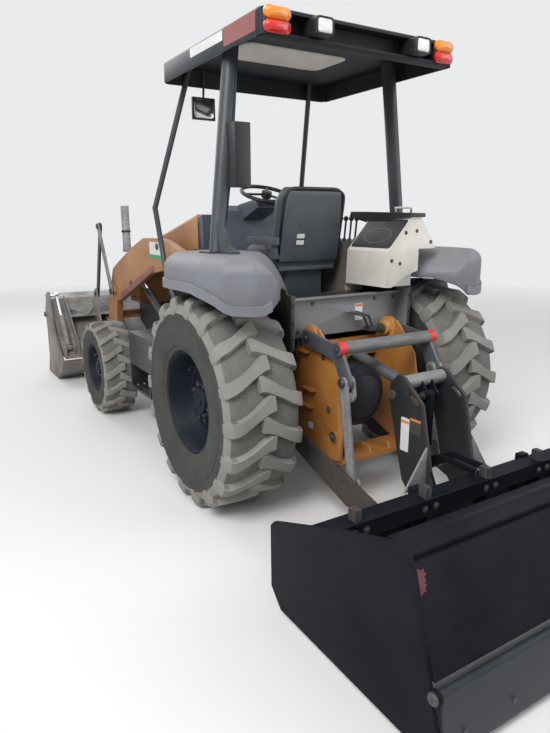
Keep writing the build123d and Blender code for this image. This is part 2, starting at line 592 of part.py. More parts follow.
# Tilt levers: an outer bar and an inner crank on one shaft through each arm
with BuildPart() as tilt_levers:
    strap([LEVER_PIN, LEVER_TOP], 74, LEVER_Y, LEVER_Y + CRANK_THICK)
    strap([LEVER_PIN, CRANK_PIN], 74, ARM_IN - GAP - CRANK_THICK, ARM_IN - GAP)
    cross_bar(LEVER_PIN, PIN_R + 5, ARM_IN - GAP - CRANK_THICK, LEVER_Y + CRANK_THICK)
    cross_bar(LEVER_TOP, PIN_R, LINK_Y - 4, LEVER_Y + CRANK_THICK)
    mirror(about=Plane.XZ)
save(tilt_levers, "tilt_levers")

# Tilt links: straps from the levers down to the bucket's ears
with BuildPart() as tilt_links:
    strap([LEVER_TOP, LINK_EYE], 76, LINK_Y, LINK_Y + LINK_THICK)
    cross_bar(LEVER_TOP, PIN_R + RUNNING, LINK_Y - GAP, LEVER_Y, mode=Mode.SUBTRACT)
    cross_bar(LINK_EYE, PIN_R, LINK_Y - 4, LEVER_Y - SEAT_GAP)
    mirror(about=Plane.XZ)
save(tilt_links, "tilt_links")

# Bucket back: the upright sheet with its top beam, end plates and ears for the arms and links
with BuildPart() as bucket_back:
    side_plate([(3200, 300), (3400, 486), (3620, 706), (3760, 866), (3975, 905), (3975, 893), (3770, 852),
                (3634, 694), (3412, 474), (3208, 286)], -BUCKET_HALF + 30, BUCKET_HALF - 30)
    side_plate([(3640, 700), (3760, 836), (3880, 858), (3880, 800), (3700, 690)], -BUCKET_HALF + 30, BUCKET_HALF - 30)
    for side in (1, -1):
        side_plate([(3200, 296), (3400, 486), (3760, 866), (3975, 905), (3975, 880), (3880, 620), (3400, 300)],
                   min(side * (BUCKET_HALF - 42), side * (BUCKET_HALF - 30)),
                   max(side * (BUCKET_HALF - 42), side * (BUCKET_HALF - 30)))
        cross_bar(JAW_PIN, 24, min(side * (BUCKET_HALF - 42), side * (BUCKET_HALF + 12)),
                  max(side * (BUCKET_HALF - 42), side * (BUCKET_HALF + 12)))
    for low, high in pair(ARM_IN - GAP - 14, ARM_IN - GAP):
        side_plate([(3080, 300), (3080, 400), (3180, 430), (3420, 640), (3560, 705), (3636, 706), (3404, 480),
                    (3210, 305), (3150, 292)], low, high)
    for low, high in pair(LEVER_Y, LEVER_Y + 14):
        side_plate([(3080, 300), (3080, 400), (3180, 430), (3330, 700), (3372, 940), (3396, 978), (3430, 992),
                    (3470, 976), (3560, 830), (3640, 710), (3404, 480), (3210, 305), (3150, 292)], low, high)
    for low, high in pair(ARM_IN - GAP - 14, LEVER_Y + 14):
        cross_bar(BUCKET_PIN, PIN_R + 5, low, high)
    for low, high in pair(JAW_Y - 46, JAW_Y - 34) + pair(JAW_Y + 34, JAW_Y + 46):
        side_plate([(3205, 398), (3225, 425), (3260, 425), (3300, 395), (3210, 305)], low, high)
    for low, high in pair(JAW_Y - 46, JAW_Y + 46):
        cross_bar(JAW_BASE, 14, low, high)
    for y in (-880, -300, 300, 880):
        side_plate([(3206, 300), (3400, 484), (3760, 864), (3728, 905), (3560, 800), (3210, 420)], y - RIB / 2, y + RIB / 2)
    for low, high in pair(300, 880):
        side_plate([(3450, 690), (3450, 702), (3640, 702), (3628, 690)], low, high)
    for side in (1, -1):
        hose([(3640, side * 860, 745), (3500, side * 800, 760), (3440, side * 690, 712), (3500, side * 640, 760),
              (3560, side * 640, 712), (3600, side * 640, 712)], 20, 11)
save(bucket_back, "bucket_back")

# Bucket jaw: floor, side plates and cutting edge, hinged near the bucket's top
with BuildPart() as bucket_jaw:
    for side in (1, -1):
        with BuildSketch(Plane.XZ.offset(-(BUCKET_HALF if side > 0 else -BUCKET_HALF + 20))) as cheek:
            with BuildLine():
                Polyline((3215, 270), (3300, 140), (3520, 8), (4000, 8), (3905, 200), (3880, 500), (3900, 745),
                         (3730, 955), (3660, 955), (3645, 890), (3500, 500), close=True)
            make_face()
            with Locations((JAW_PIN[0], JAW_PIN[1])):
                Circle(24 + 0.3, mode=Mode.SUBTRACT)
        extrude(cheek.sketch, amount=20)
    side_plate([(3218, 262), (3300, 140), (3520, 8), (4000, 8), (4000, 20), (3524, 22), (3310, 150), (3230, 268)],
               -BUCKET_HALF, BUCKET_HALF)
    with Locations(Plane.XY):
        with Locations((EDGE_BOLT_X, 0, 14)):
            with GridLocations(EDGE_BOLT_PITCH, EDGE_BOLT_PITCH, 1, 8):
                Cylinder(EDGE_BOLT_HOLE, 40, mode=Mode.SUBTRACT)
save(bucket_jaw, "bucket_jaw")

# Jaw cylinders: barrels low on the bucket's back and rods up to the jaw's ears
with BuildPart() as jaw_barrels:
    for y in (JAW_Y, -JAW_Y):
        bar(at_y(along(JAW_BASE, JAW_EYE, 24), y), at_y(along(JAW_BASE, JAW_EYE, 400), y), 28)
        cross_bar(JAW_BASE, 28, y - 20, y + 20)
        bar(at_y(along(JAW_BASE, JAW_EYE, 42), y), at_y(along(JAW_BASE, JAW_EYE, 410), y), 16.3, mode=Mode.SUBTRACT)
    cross_bar(JAW_BASE, 14 + RUNNING, -1030, 1030, mode=Mode.SUBTRACT)
save(jaw_barrels, "jaw_barrels")
with BuildPart() as jaw_rods:
    for side in (1, -1):
        bar(at_y(along(JAW_BASE, JAW_EYE, 262), side * JAW_Y), at_y(along(JAW_EYE, JAW_BASE, 20), side * JAW_Y), 16)
        cross_bar(JAW_EYE, 28, side * JAW_Y - 19, side * JAW_Y + 19)
        pin_end = BUCKET_HALF - 20 - SEAT_GAP
        cross_bar(JAW_EYE, 14, min(side * (JAW_Y - 20), side * pin_end), max(side * (JAW_Y - 20), side * pin_end))
save(jaw_rods, "jaw_rods")

# Rockshaft: two bent arms on stubs in the hitch plates' hubs, joined by the round cross tube
with BuildPart() as rockshaft:
    for side in (1, -1):
        low, high = min(side * 330, side * 350), max(side * 330, side * 350)
        strap([ROCK_PIN, (-610, 988), ARM_END], 92, low, high)
        cross_bar(ROCK_PIN, STUB_R, min(side * STUB_END, side * 350), max(side * STUB_END, side * 350))
        cross_bar(ARM_END, PIN_R, min(side * 300, side * 380), max(side * 300, side * 380))
    cross_bar((-640, 1020), 38, -372, 372)
save(rockshaft, "rockshaft")

# Lift links: flat bars forked around the rockshaft's arms, with eyes on the lower links
with BuildPart() as lift_links:
    for low, high in pair(356, 374):
        strap([ARM_END, LINK_EYE_LOW], 64, low, high)
    fork = along(ARM_END, LINK_EYE_LOW, 78)
    for low, high in pair(306, 324):
        strap([ARM_END, fork], 64, low, high)
    for low, high in pair(306, 374):
        strap([along(ARM_END, LINK_EYE_LOW, 72), along(ARM_END, LINK_EYE_LOW, 104)], 26, low, high)
    cross_bar(ARM_END, PIN_R + RUNNING, -420, 420, mode=Mode.SUBTRACT)
    for low, high in pair(348, 385 - SEAT_GAP):
        cross_bar(LINK_EYE_LOW, PIN_R, low, high)
save(lift_links, "lift_links")

# Lower links: deep flat bars from the hitch plates to the box
with BuildPart() as lower_links:
    for low, high in pair(385, 410):
        side_plate([(-10, 490), (-50, 512), (-800, 322), (-1120, 238), (-1170, 190), (-1150, 130), (-804, 150),
                    (-60, 390), (-10, 410)], low, high)
    cross_bar(LINK_PIN, 22 + RUNNING, -430, 430, mode=Mode.SUBTRACT)
    cross_bar(BOX_PIN, PIN_R + RUNNING, -430, 430, mode=Mode.SUBTRACT)
save(lower_links, "lower_links")

# Top link: a hydraulic link kept at one length
with BuildPart() as top_link:
    bar(at_y(along(TOP_LINK_PIN, MAST_PIN, 24), 0), at_y(along(TOP_LINK_PIN, MAST_PIN, 420), 0), 34)
    bar(at_y(along(TOP_LINK_PIN, MAST_PIN, 400), 0), at_y(along(MAST_PIN, TOP_LINK_PIN, 24), 0), 18)
    cross_bar(TOP_LINK_PIN, 32, -26, 26)
    cross_bar(MAST_PIN, 32, -26, 26)
    cross_bar(TOP_LINK_PIN, 16 + RUNNING, -60, 60, mode=Mode.SUBTRACT)
    cross_bar(MAST_PIN, PIN_R, -150 + SEAT_GAP, 150 - SEAT_GAP)
save(top_link, "top_link")

# Box scraper: side plates, front beam with its mast, inner sheet, curved back and top bar
with BuildPart() as box_scraper:
    for low, high in pair(BOX_HALF - 16, BOX_HALF):
        side_plate([(-1160, 100), (-1156, 402), (-1186, 433), (-1652, 612), (-1916, 700), (-1965, 706), (-2004, 690),
                    (-2030, 640), (-2190, 30), (-2150, 20), (-1240, 20)], low, high)
    inner = BOX_HALF - 16
    block(-1300, -1185, -inner, inner, 240, 355)
    side_plate([(-1985, 672), (-1940, 700), (-1900, 700), (-1900, 660), (-1975, 640)], -inner, inner)
    side_plate([(-1975, 645), (-1990, 645), (-2070, 470), (-2130, 300), (-2116, 300), (-2056, 470)], -inner, inner)
    side_plate([(-1912, 700), (-1888, 700), (-1840, 480), (-1850, 250), (-1900, 40), (-1912, 40), (-1864, 250),
                (-1854, 480)], -inner, inner)
    for low, high in pair(150, 170):
        side_plate([(-860, 760), (-868, 850), (-920, 910), (-970, 900), (-1110, 785), (-1190, 440), (-1240, 345),
                    (-1200, 240), (-1060, 240), (-985, 330)], low, high)
    for low, high in pair(140, 180):
        side_plate([(-1010, 812), (-1075, 770), (-1090, 782), (-1072, 800), (-1015, 832)], low, high, mode=Mode.SUBTRACT)
    for low, high in pair(170, 320):
        with BuildSketch(Plane.YZ.offset(-1166)) as gusset:
            with BuildLine():
                Polyline((low, 350), (high, 350), (high if high < 0 else low, 570), close=True)
            make_face()
        extrude(gusset.sketch, amount=12)
    cross_bar(MAST_TUBE, 38, -150, 150)
    for low, high in pair(30, 42):
        side_plate([(-930, 830), (-920, 880), (-968, 872), (-1020, 800), (-1010, 768), (-975, 768)], low, high)
    for low, high in pair(362, 380) + pair(416, 434):
        side_plate([(-1190, 350), (-1240, 240), (-1190, 130), (-1085, 140), (-1085, 225)], low, high)
    for low, high in pair(362, 434):
        cross_bar(BOX_PIN, PIN_R, low, high)
    for side in (1, -1):
        block(-1340, -1300, side * 400 - 30, side * 400 + 30, 240, 470)
    for index in range(9):
        y = -960 + 240 * index
        side_plate([(-1984, 642), (-2063, 470), (-2119, 310), (-1858, 250), (-1850, 480), (-1892, 668)], y - 5, y + 5)
    for low, high in pair(inner, BOX_HALF):
        cross_bar(FLAP_PIN, 26, low, high)
    for low, high in pair(inner - 40, inner + 4):
        cross_bar(FLAP_PIN, 8, low, high)
    cross_bar(DROP_PIN, 12, -50, 50)
    cross_bar(DROP_PIN, 26, -24, 24)
    bar(at_y(DROP_PIN, 0), (DROP_PIN[0], 0, 500), 30)
    bar((DROP_PIN[0], 0, 758), (DROP_PIN[0], 0, 490), 14 + SEAT_GAP, mode=Mode.SUBTRACT)
save(box_scraper, "box_scraper")

# Hinged rear blade with its hinge tube
with BuildPart() as scraper_flap:
    edge = BOX_HALF - 22
    cross_bar(FLAP_PIN, 16, -edge, edge)
    side_plate([(-2140, 262), (-2160, 262), (-2188, 40), (-2164, 40)], -edge, edge)
    cross_bar(FLAP_PIN, 8 + RUNNING, edge - 45, edge + 5, mode=Mode.SUBTRACT)
    cross_bar(FLAP_PIN, 8 + RUNNING, -edge - 5, -edge + 45, mode=Mode.SUBTRACT)
save(scraper_flap, "scraper_flap")

# Scarifier bar: a square beam with five curved shanks and their tips
with BuildPart() as scarifier_bar:
    block(-1440, -1340 - SEAT_GAP, -980, 980, 380, 460)
    for index in range(5):
        y = -840 + 420 * index
        side_plate([(-1440, 460), (-1360, 460), (-1350, 300), (-1375, 190), (-1330, 90), (-1300, 60), (-1345, 70),
                    (-1420, 170), (-1440, 300)], y - 13, y + 13)
        block(-1425, -1375, y - 18, y + 18, 455, 510)
    for low, high in pair(36, 50):
        side_plate([(-1380, 458), (-1380, 500), (-1150, 500), (-960, 402), (-960, 350), (-1000, 344), (-1165, 470),
                    (-1345, 470), (-1345, 458)], low, high)
    cross_bar(DROP_EYE, 12, -50, 50)
    cross_bar(DROP_EYE, 22, -24, 24)
    bar(at_y(DROP_EYE, 0), (DROP_EYE[0], 0, 640), 14)
save(scarifier_bar, "scarifier_bar")
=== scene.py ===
"""Looks of a landscape tractor loader: dusty tyres, painted sheet, worn steel, seat pads, lamps and fittings.

Laid out as an add-on: the sizes and colours that a user would change are properties, and each group of pieces
has its operator. Everything is in metres in the machine's frame, X forward, Y left and Z up.
"""
import json
from math import cos, pi, radians, sin
from types import SimpleNamespace

import bmesh
import bpy
import numpy as np
from mathutils import Matrix


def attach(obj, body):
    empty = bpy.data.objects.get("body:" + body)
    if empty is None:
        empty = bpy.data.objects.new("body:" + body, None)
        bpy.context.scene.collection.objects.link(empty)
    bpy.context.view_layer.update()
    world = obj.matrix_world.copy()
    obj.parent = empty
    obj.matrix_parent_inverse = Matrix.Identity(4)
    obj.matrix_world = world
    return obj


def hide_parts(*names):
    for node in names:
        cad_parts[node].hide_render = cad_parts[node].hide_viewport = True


bl_info = {
    "name": "Landscape tractor loader",
    "version": (1, 0, 0),
    "blender": (4, 5, 0),
    "location": "3D View > Sidebar > Loader",
    "description": "Dresses the tractor loader's frame with its finished pieces and materials",
    "category": "Object",
}

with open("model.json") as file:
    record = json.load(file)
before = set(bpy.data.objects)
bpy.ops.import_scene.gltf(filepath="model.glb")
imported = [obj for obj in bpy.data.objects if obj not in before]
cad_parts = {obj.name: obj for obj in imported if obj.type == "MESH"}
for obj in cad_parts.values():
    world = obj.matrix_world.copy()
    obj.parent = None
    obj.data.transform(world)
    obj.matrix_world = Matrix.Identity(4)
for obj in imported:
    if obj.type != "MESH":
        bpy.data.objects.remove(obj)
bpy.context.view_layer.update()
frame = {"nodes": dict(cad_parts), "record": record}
ORIGIN_X = 0.905  # the frame's origin lies this far ahead of the rear axle
BODY_OF = {node: body for body, nodes in frame["record"]["behaviour"]["bodies"].items() for node in nodes}
SIDES = ((1, "left"), (-1, "right"))
FORWARD, TO_REAR, TO_LEFT, TO_RIGHT, UP = (1, 0, 0), (-1, 0, 0), (0, 1, 0), (0, -1, 0), (0, 0, 1)

# Properties


def colour_of(name, description, default):
    """A colour property."""
    return bpy.props.FloatVectorProperty(name=name, description=description, subtype="COLOR", size=3, default=default)


class LoaderColours(bpy.types.PropertyGroup):
    """The paints, edges and lens that a user would change."""

    tan: colour_of("Tan paint", "Arms and hood", (0.34, 0.145, 0.042))
    black: colour_of("Black paint", "Frame, platform and links", (0.014, 0.015, 0.018))
    grey: colour_of("Grey plastic", "Fenders", (0.165, 0.172, 0.19))
    floor: colour_of("Floor", "Pale studio floor", (0.74, 0.735, 0.72))
    lens_mm: bpy.props.FloatProperty(name="Lens", description="The camera's focal length", unit="CAMERA", default=38.87)
    edges: bpy.props.FloatProperty(name="Edges", description="Rounding of the edges, 1 as on the real machine",
                                   subtype="FACTOR", min=0.1, max=2.0, default=1.0)


def settings():
    return bpy.context.scene.loader_colours


# Node trees


def rgba(colour):
    """The colour with its alpha, or the socket that gives it."""
    return colour if isinstance(colour, bpy.types.NodeSocket) else (*colour, 1.0)


class Tree:
    """The node tree of a material or world, filled by short calls: each returns its output socket."""

    def __init__(self, owner):
        self.owner = owner
        owner.use_nodes = True
        self.nodes = owner.node_tree.nodes
        self.links = owner.node_tree.links
        self.shader = self.nodes.get("Principled BSDF")

    def put(self, socket, value):
        if isinstance(value, bpy.types.NodeSocket):
            self.links.new(value, socket)
        else:
            socket.default_value = value

    def add(self, kind, sockets=(), **choices):
        """A new node with its choices made and its sockets set or linked."""
        node = self.nodes.new("ShaderNode" + kind)
        for name, value in choices.items():
            setattr(node, name, value)
        for name, value in dict(sockets).items():
            self.put(node.inputs[name], value)
        return node

    def place(self, kind="Object"):
        return self.add("TexCoord").outputs[kind]

    def noise(self, scale, detail=4.0, roughness=0.55, stretch=None):
        source = self.place()
        if stretch:
            source = self.add("Mapping", {"Vector": source, "Scale": stretch}).outputs["Vector"]
        return self.add("TexNoise", {"Vector": source, "Scale": scale, "Detail": detail,
                                     "Roughness": roughness}).outputs["Fac"]

    def cells(self, scale):
        return self.add("TexVoronoi", {"Vector": self.place(), "Scale": scale}).outputs["Distance"]

    def ramp(self, value, low, high, to_low=0.0, to_high=1.0):
        return self.add("MapRange", {"Value": value, "From Min": low, "From Max": high, "To Min": to_low,
                                     "To Max": to_high}).outputs["Result"]

    def maths(self, operation, a, b):
        clamped = operation in ("ADD", "MULTIPLY")
        return self.add("Math", {0: a, 1: b}, operation=operation, use_clamp=clamped).outputs[0]

    def mix(self, factor, a, b):
        return self.add("Mix", {0: factor, 6: rgba(a), 7: rgba(b)}, data_type="RGBA").outputs[2]

    def height_of(self, kind):
        """The upward part of the place or of the normal."""
        return self.add("SeparateXYZ", {0: self.place(kind)}).outputs["Z"]

    def ray_is(self, *kinds):
        """1 for rays of these kinds: the largest of the light path's answers."""
        path = self.add("LightPath")
        found, *others = (path.outputs[f"Is {kind} Ray"] for kind in kinds)
        for other in others:
            found = self.maths("MAXIMUM", found, other)
        return found

    def bump(self, height, strength, distance):
        node = self.add("Bump", {"Strength": strength, "Distance": distance, "Height": height})
        self.put(self.shader.inputs["Normal"], node.outputs["Normal"])

    def finish(self, colour, roughness, metallic=0.0, specular=0.5):
        for name, value in (("Base Color", rgba(colour)), ("Roughness", roughness), ("Metallic", metallic),
                            ("Specular IOR Level", specular)):
            self.put(self.shader.inputs[name], value)
        return self.owner


def shade(colour, factor):
    """The colour made lighter or darker."""
    return tuple(min(1.0, channel * factor) for channel in colour)


DUST = (0.36, 0.325, 0.27)
TYRE_DUST = (0.34, 0.325, 0.295)
PRIMER = (0.16, 0.12, 0.09)
CHROME = (0.78, 0.79, 0.81)
PAINT_GRAIN = 320.0


def painted(tree, colour, dust, rough, chips=0.25, shine=0.5):
    """Paint with dust lying on upward faces and near the ground, cloudy shade changes and small chips."""
    cloud = tree.noise(2.6, 6.0)
    speck = tree.noise(34.0, 5.0, 0.7)
    up = tree.ramp(tree.height_of("Normal"), -0.15, 1.0)
    near_ground = tree.ramp(tree.height_of("Object"), 0.05, 1.5, 0.75, 0.12)
    laid = tree.maths("MULTIPLY", tree.maths("ADD", up, near_ground), tree.ramp(cloud, 0.3, 0.72))
    patchy = tree.maths("MULTIPLY", laid, tree.ramp(speck, 0.25, 0.75, 0.45, 1.0))
    dusty = tree.maths("MULTIPLY", patchy, dust)
    body = tree.mix(tree.ramp(cloud, 0.35, 0.7), shade(colour, 0.82), shade(colour, 1.16))
    chip = tree.ramp(tree.noise(95.0, 3.0, 0.8), 0.70, 0.74)
    chipped = tree.mix(tree.maths("MULTIPLY", chip, chips), body, PRIMER)
    tree.bump(tree.noise(PAINT_GRAIN, 2.0), 0.12, 0.0008)
    return tree.finish(tree.mix(dusty, chipped, DUST), tree.ramp(dusty, 0.0, 0.6, rough, min(0.95, rough + 0.4)),
                       specular=shine)


def rubber(tree, colour, dust):
    """Tyre rubber: grey, dusty in the hollows and on the lugs' faces, with a fine mottle."""
    fine = tree.noise(60.0, 6.0, 0.7)
    spread = tree.maths("MULTIPLY", tree.ramp(tree.noise(5.0, 6.0, 0.65), 0.25, 0.7, 0.35, 1.0),
                        tree.ramp(fine, 0.3, 0.7, 0.55, 1.0))
    tree.bump(tree.noise(180.0, 5.0, 0.7), 0.35, 0.0015)
    return tree.finish(tree.mix(tree.maths("MULTIPLY", spread, dust), colour, TYRE_DUST),
                       tree.ramp(fine, 0.2, 0.8, 0.72, 0.95), specular=0.3)


def worn_steel(tree, colour, rust, rust_share, rough, metallic):
    """Bare or lightly painted steel with a worn sheen, brushed marks and patches of rust."""
    cloud = tree.noise(3.2, 8.0, 0.6)
    marks = tree.noise(40.0, 4.0, 0.6, stretch=(1.0, 0.15, 1.0))
    patch = tree.maths("MULTIPLY", tree.ramp(cloud, 0.48, 0.66), rust_share)
    body = tree.mix(tree.ramp(marks, 0.3, 0.7), shade(colour, 0.75), shade(colour, 1.25))
    tree.bump(tree.noise(150.0, 4.0), 0.2, 0.001)
    return tree.finish(tree.mix(patch, body, rust), tree.ramp(cloud, 0.3, 0.7, rough, 0.85), metallic)


def chrome(tree, colour):
    """Polished steel with a faint film of dust."""
    return tree.finish(colour, tree.ramp(tree.noise(25.0, 5.0), 0.3, 0.75, 0.08, 0.28), 1.0)


def moulded(tree, colour, rough, dust, grain=700.0):
    """Moulded plastic or vinyl with a fine grain and a little dust on top."""
    up = tree.ramp(tree.height_of("Normal"), 0.1, 1.0)
    patchy = tree.maths("MULTIPLY", up, tree.ramp(tree.noise(9.0, 6.0), 0.3, 0.7))
    dusty = tree.maths("MULTIPLY", patchy, dust)
    tree.bump(tree.cells(grain), 0.18, 0.0006)
    body = tree.mix(tree.ramp(tree.noise(4.0, 4.0), 0.3, 0.7), shade(colour, 0.88), shade(colour, 1.12))
    return tree.finish(tree.mix(dusty, body, DUST), tree.ramp(dusty, 0.0, 0.5, rough, 0.9))


def lens(tree, colour):
    """A moulded lamp lens with fine ribs under a glossy face."""
    ribs = tree.add("TexWave", {"Scale": 60.0, "Vector": tree.place()}, bands_direction="Y")
    tree.bump(ribs.outputs["Fac"], 0.3, 0.001)
    tree.shader.inputs["Coat Weight"].default_value = 0.6
    tree.shader.inputs["Coat Roughness"].default_value = 0.05
    return tree.finish(tree.mix(tree.ramp(tree.noise(30.0), 0.3, 0.7), shade(colour, 0.8), shade(colour, 1.1)), 0.12)


# Meshes


def at(x, y, z):
    """A place measured from the rear axle's line on the ground, in the machine's frame."""
    return (x - ORIGIN_X, y, z)


def unit(vector):
    """The vector at length 1."""
    vector = np.array(vector, float)
    return vector / np.linalg.norm(vector)


def plane_of(across, rise):
    """Unit vectors of a plane: across, the part of rise square to it, and outwards."""
    across, rise = unit(across), np.array(rise, float)
    rise = unit(rise - across * (rise @ across))
    return across, rise, np.cross(across, rise)


def ring_faces(rows, columns, closed=False):
    """Quads between rings of points, from the last ring back to the first where closed."""
    r, c = np.meshgrid(np.arange(rows if closed else rows - 1), np.arange(columns), indexing="ij")
    r, c = r.ravel(), c.ravel()
    after, beside = (r + 1) % rows, (c + 1) % columns
    return np.stack([r * columns + c, r * columns + beside, after * columns + beside, after * columns + c],
                    axis=1).tolist()


def tube_faces(rows, columns):
    """The rings' quads and a face over each end."""
    return ring_faces(rows, columns) + [list(range(columns)), list(range((rows - 1) * columns, rows * columns))]


def gather(parts):
    """One part from several: points are stacked and faces renumbered."""
    points, faces, start = [], [], 0
    for part_points, part_faces in parts:
        points.append(part_points)
        faces.extend([i + start for i in face] for face in part_faces)
        start += len(part_points)
    return np.concatenate(points), faces


def linked(name, data):
    """A new object in the scene."""
    made = bpy.data.objects.new(name, data)
    bpy.context.scene.collection.objects.link(made)
    return made


def put_piece(name, part, slot, finish=None, body="chassis", smooth=True, sharp=38):
    """Makes an object of a part's points and faces, which rides on the body.

    It shows the finish, or where none is given the one with the slot's name.
    """
    points, faces = part
    mesh = bpy.data.meshes.new(name)
    mesh.from_pydata(points.tolist(), [], faces)
    mesh.update()
    piece = linked(name, mesh)
    mesh.materials.append(FINISH[finish or slot])
    facing_out(piece)
    if smooth:
        mesh.polygons.foreach_set("use_smooth", [True] * len(mesh.polygons))
        mesh.set_sharp_from_angle(angle=radians(sharp))
    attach(piece, body)
    return piece


def lathe(profile, centre, axis, segments=48, closed=False):
    """Turns a profile of (distance along the axis, radius) about the axis: point = centre + d*axis + r*(cos, sin).

    A closed profile makes a ring; an open one gets a face at each end.
    """
    axis = unit(axis)
    side = unit(np.cross(axis, UP if abs(axis[2]) < 0.9 else FORWARD))
    other = np.cross(axis, side)
    profile = np.array(profile, float)
    angle = np.linspace(0, 2 * pi, segments, endpoint=False)
    ring = np.cos(angle)[:, None] * side + np.sin(angle)[:, None] * other
    points = np.array(centre, float) + profile[:, None, 0:1] * axis + profile[:, None, 1:2] * ring[None]
    rows = len(profile)
    faces = ring_faces(rows, segments, True) if closed else tube_faces(rows, segments)
    return points.reshape(-1, 3), faces


def rounded(points, bend, steps=5):
    """The line through the points with each corner drawn as p = (1-t)^2 a + 2t(1-t) b + t^2 c, a and c set back by
    the bend."""
    points = [np.array(point, float) for point in points]
    line = [points[0]]
    t = np.linspace(0, 1, steps)[:, None]
    for before, corner, after in zip(points, points[1:], points[2:]):
        back = min(bend, 0.45 * np.linalg.norm(before - corner), 0.45 * np.linalg.norm(after - corner))
        a = corner + unit(before - corner) * back
        c = corner + unit(after - corner) * back
        line.extend((1 - t) ** 2 * a + 2 * t * (1 - t) * corner + t ** 2 * c)
    line.append(points[-1])
    return np.array(line)


def sweep(path, section, up=UP):
    """Carries a closed section of (across, up) along the path: point = path + x*side + y*rise, and closes both ends."""
    path = np.array(path, float)
    section = np.array(section, float)
    ahead = np.gradient(path, axis=0)
    ahead /= np.linalg.norm(ahead, axis=1)[:, None]
    side = np.cross(ahead, np.array(up, float))
    side /= np.linalg.norm(side, axis=1)[:, None]
    rise = np.cross(side, ahead)
    points = path[:, None] + section[None, :, 0:1] * side[:, None] + section[None, :, 1:2] * rise[:, None]
    return points.reshape(-1, 3), tube_faces(len(path), len(section))


def circle(radius, segments=8):
    """Points of a circle: radius*(cos a, sin a)."""
    angle = np.linspace(0, 2 * pi, segments, endpoint=False)
    return radius * np.stack([np.cos(angle), np.sin(angle)], axis=1)


def soft_box(width, height, corner, steps=5):
    """Outline of a rectangle with round corners: each corner is centre + corner*(cos a, sin a)."""
    angle = np.linspace(0, pi / 2, steps)
    quarter = np.stack([np.cos(angle), np.sin(angle)], axis=1) * corner
    middle = np.array((width / 2 - corner, height / 2 - corner))
    corners = (((1, 1), (1, 0)), ((-1, 1), (0, 1)), ((-1, -1), (-1, 0)), ((1, -1), (0, -1)))
    return np.concatenate([quarter @ np.array(((c, s), (-s, c))) + middle * signs for signs, (c, s) in corners])


def slab(outline, centre, across, rise, thick, edge=0.001, crown=0.0):
    """A plate on the outline: rings of it at scales k and depths d, point = centre + k*(x*across + y*rise) + d*out.

    The crown lifts the inner rings, d = thick + crown*(1 - k^2), as on a moulded lens or a cushioned sign.
    """
    across, rise, out = plane_of(across, rise)
    outline = np.array(outline, float)
    inset = 1 - edge / np.abs(outline).max(axis=0).min()
    rings = [(1.0, 0.0), (1.0, thick - edge), (inset, thick)]
    if crown:
        rings += [(k, thick + crown * (1 - k * k)) for k in (0.8, 0.55, 0.3, 0.1)]
    points = [np.array(centre, float) + k * (outline[:, :1] * across + outline[:, 1:] * rise) + d * out
              for k, d in rings]
    return np.concatenate(points), tube_faces(len(rings), len(outline))


def bolt(place, axis, across):
    """A hexagon head on a washer, both turned about the axis from short profiles."""
    rise = across * 0.6
    washer = lathe([(0.0, across * 1.55), (rise * 0.28, across * 1.55), (rise * 0.3, across * 1.2)], place, axis, 16)
    head = lathe([(0.0, across), (rise, across), (rise * 1.25, across * 0.82)], place, axis, 6)
    return gather([washer, head])


def pin_head(place, axis, radius, rise=0.012):
    """A pin's end with a chamfer and a shallow centre mark: a turned profile."""
    return lathe([(0.0, radius), (rise * 0.7, radius), (rise, radius * 0.86), (rise, radius * 0.25),
                  (rise * 0.7, radius * 0.2), (rise * 0.7, 0.0005)], place, axis, 24)


def cushion(size, centre, across, rise, rows=18, columns=40):
    """A stuffed pad: point = centre + a*C(u)*c(v)*across + b*C(u)*s(v)*rise + d*S(u)*out.

    C and S are cos u and sin u to the powers 0.45 and 0.8, c and s are cos v and sin v to the power 0.35, all with
    their signs kept. That crowns the faces and leaves tight round edges.
    """
    across, rise, out = plane_of(across, rise)
    u = np.linspace(-pi / 2 + 0.04, pi / 2 - 0.04, rows)[:, None]
    v = np.linspace(0, 2 * pi, columns, endpoint=False)[None, :]

    def power_of(value, exponent):
        return np.sign(value) * np.abs(value) ** exponent

    x = size[0] / 2 * power_of(np.cos(u), 0.45) * power_of(np.cos(v), 0.35)
    y = size[1] / 2 * power_of(np.cos(u), 0.45) * power_of(np.sin(v), 0.35)
    z = size[2] / 2 * power_of(np.sin(u), 0.8) * np.ones_like(v)
    points = np.array(centre, float) + x[..., None] * across + y[..., None] * rise + z[..., None] * out
    return points.reshape(-1, 3), tube_faces(rows, columns)


def facing_out(piece):
    """Merges doubles and turns a closed mesh's faces outwards."""
    shell = bmesh.new()
    shell.from_mesh(piece.data)
    bmesh.ops.remove_doubles(shell, verts=shell.verts, dist=1e-6)
    bmesh.ops.recalc_face_normals(shell, faces=shell.faces)
    shell.to_mesh(piece.data)
    shell.free()


# Copies of the frame's pieces: distance at which points are one, and the angles in degrees below which faces are one
# flat face and above which an edge is rounded
SAME_PLACE, FLAT_ANGLE, EDGE_ANGLE = 2e-5, 0.6, 28.0


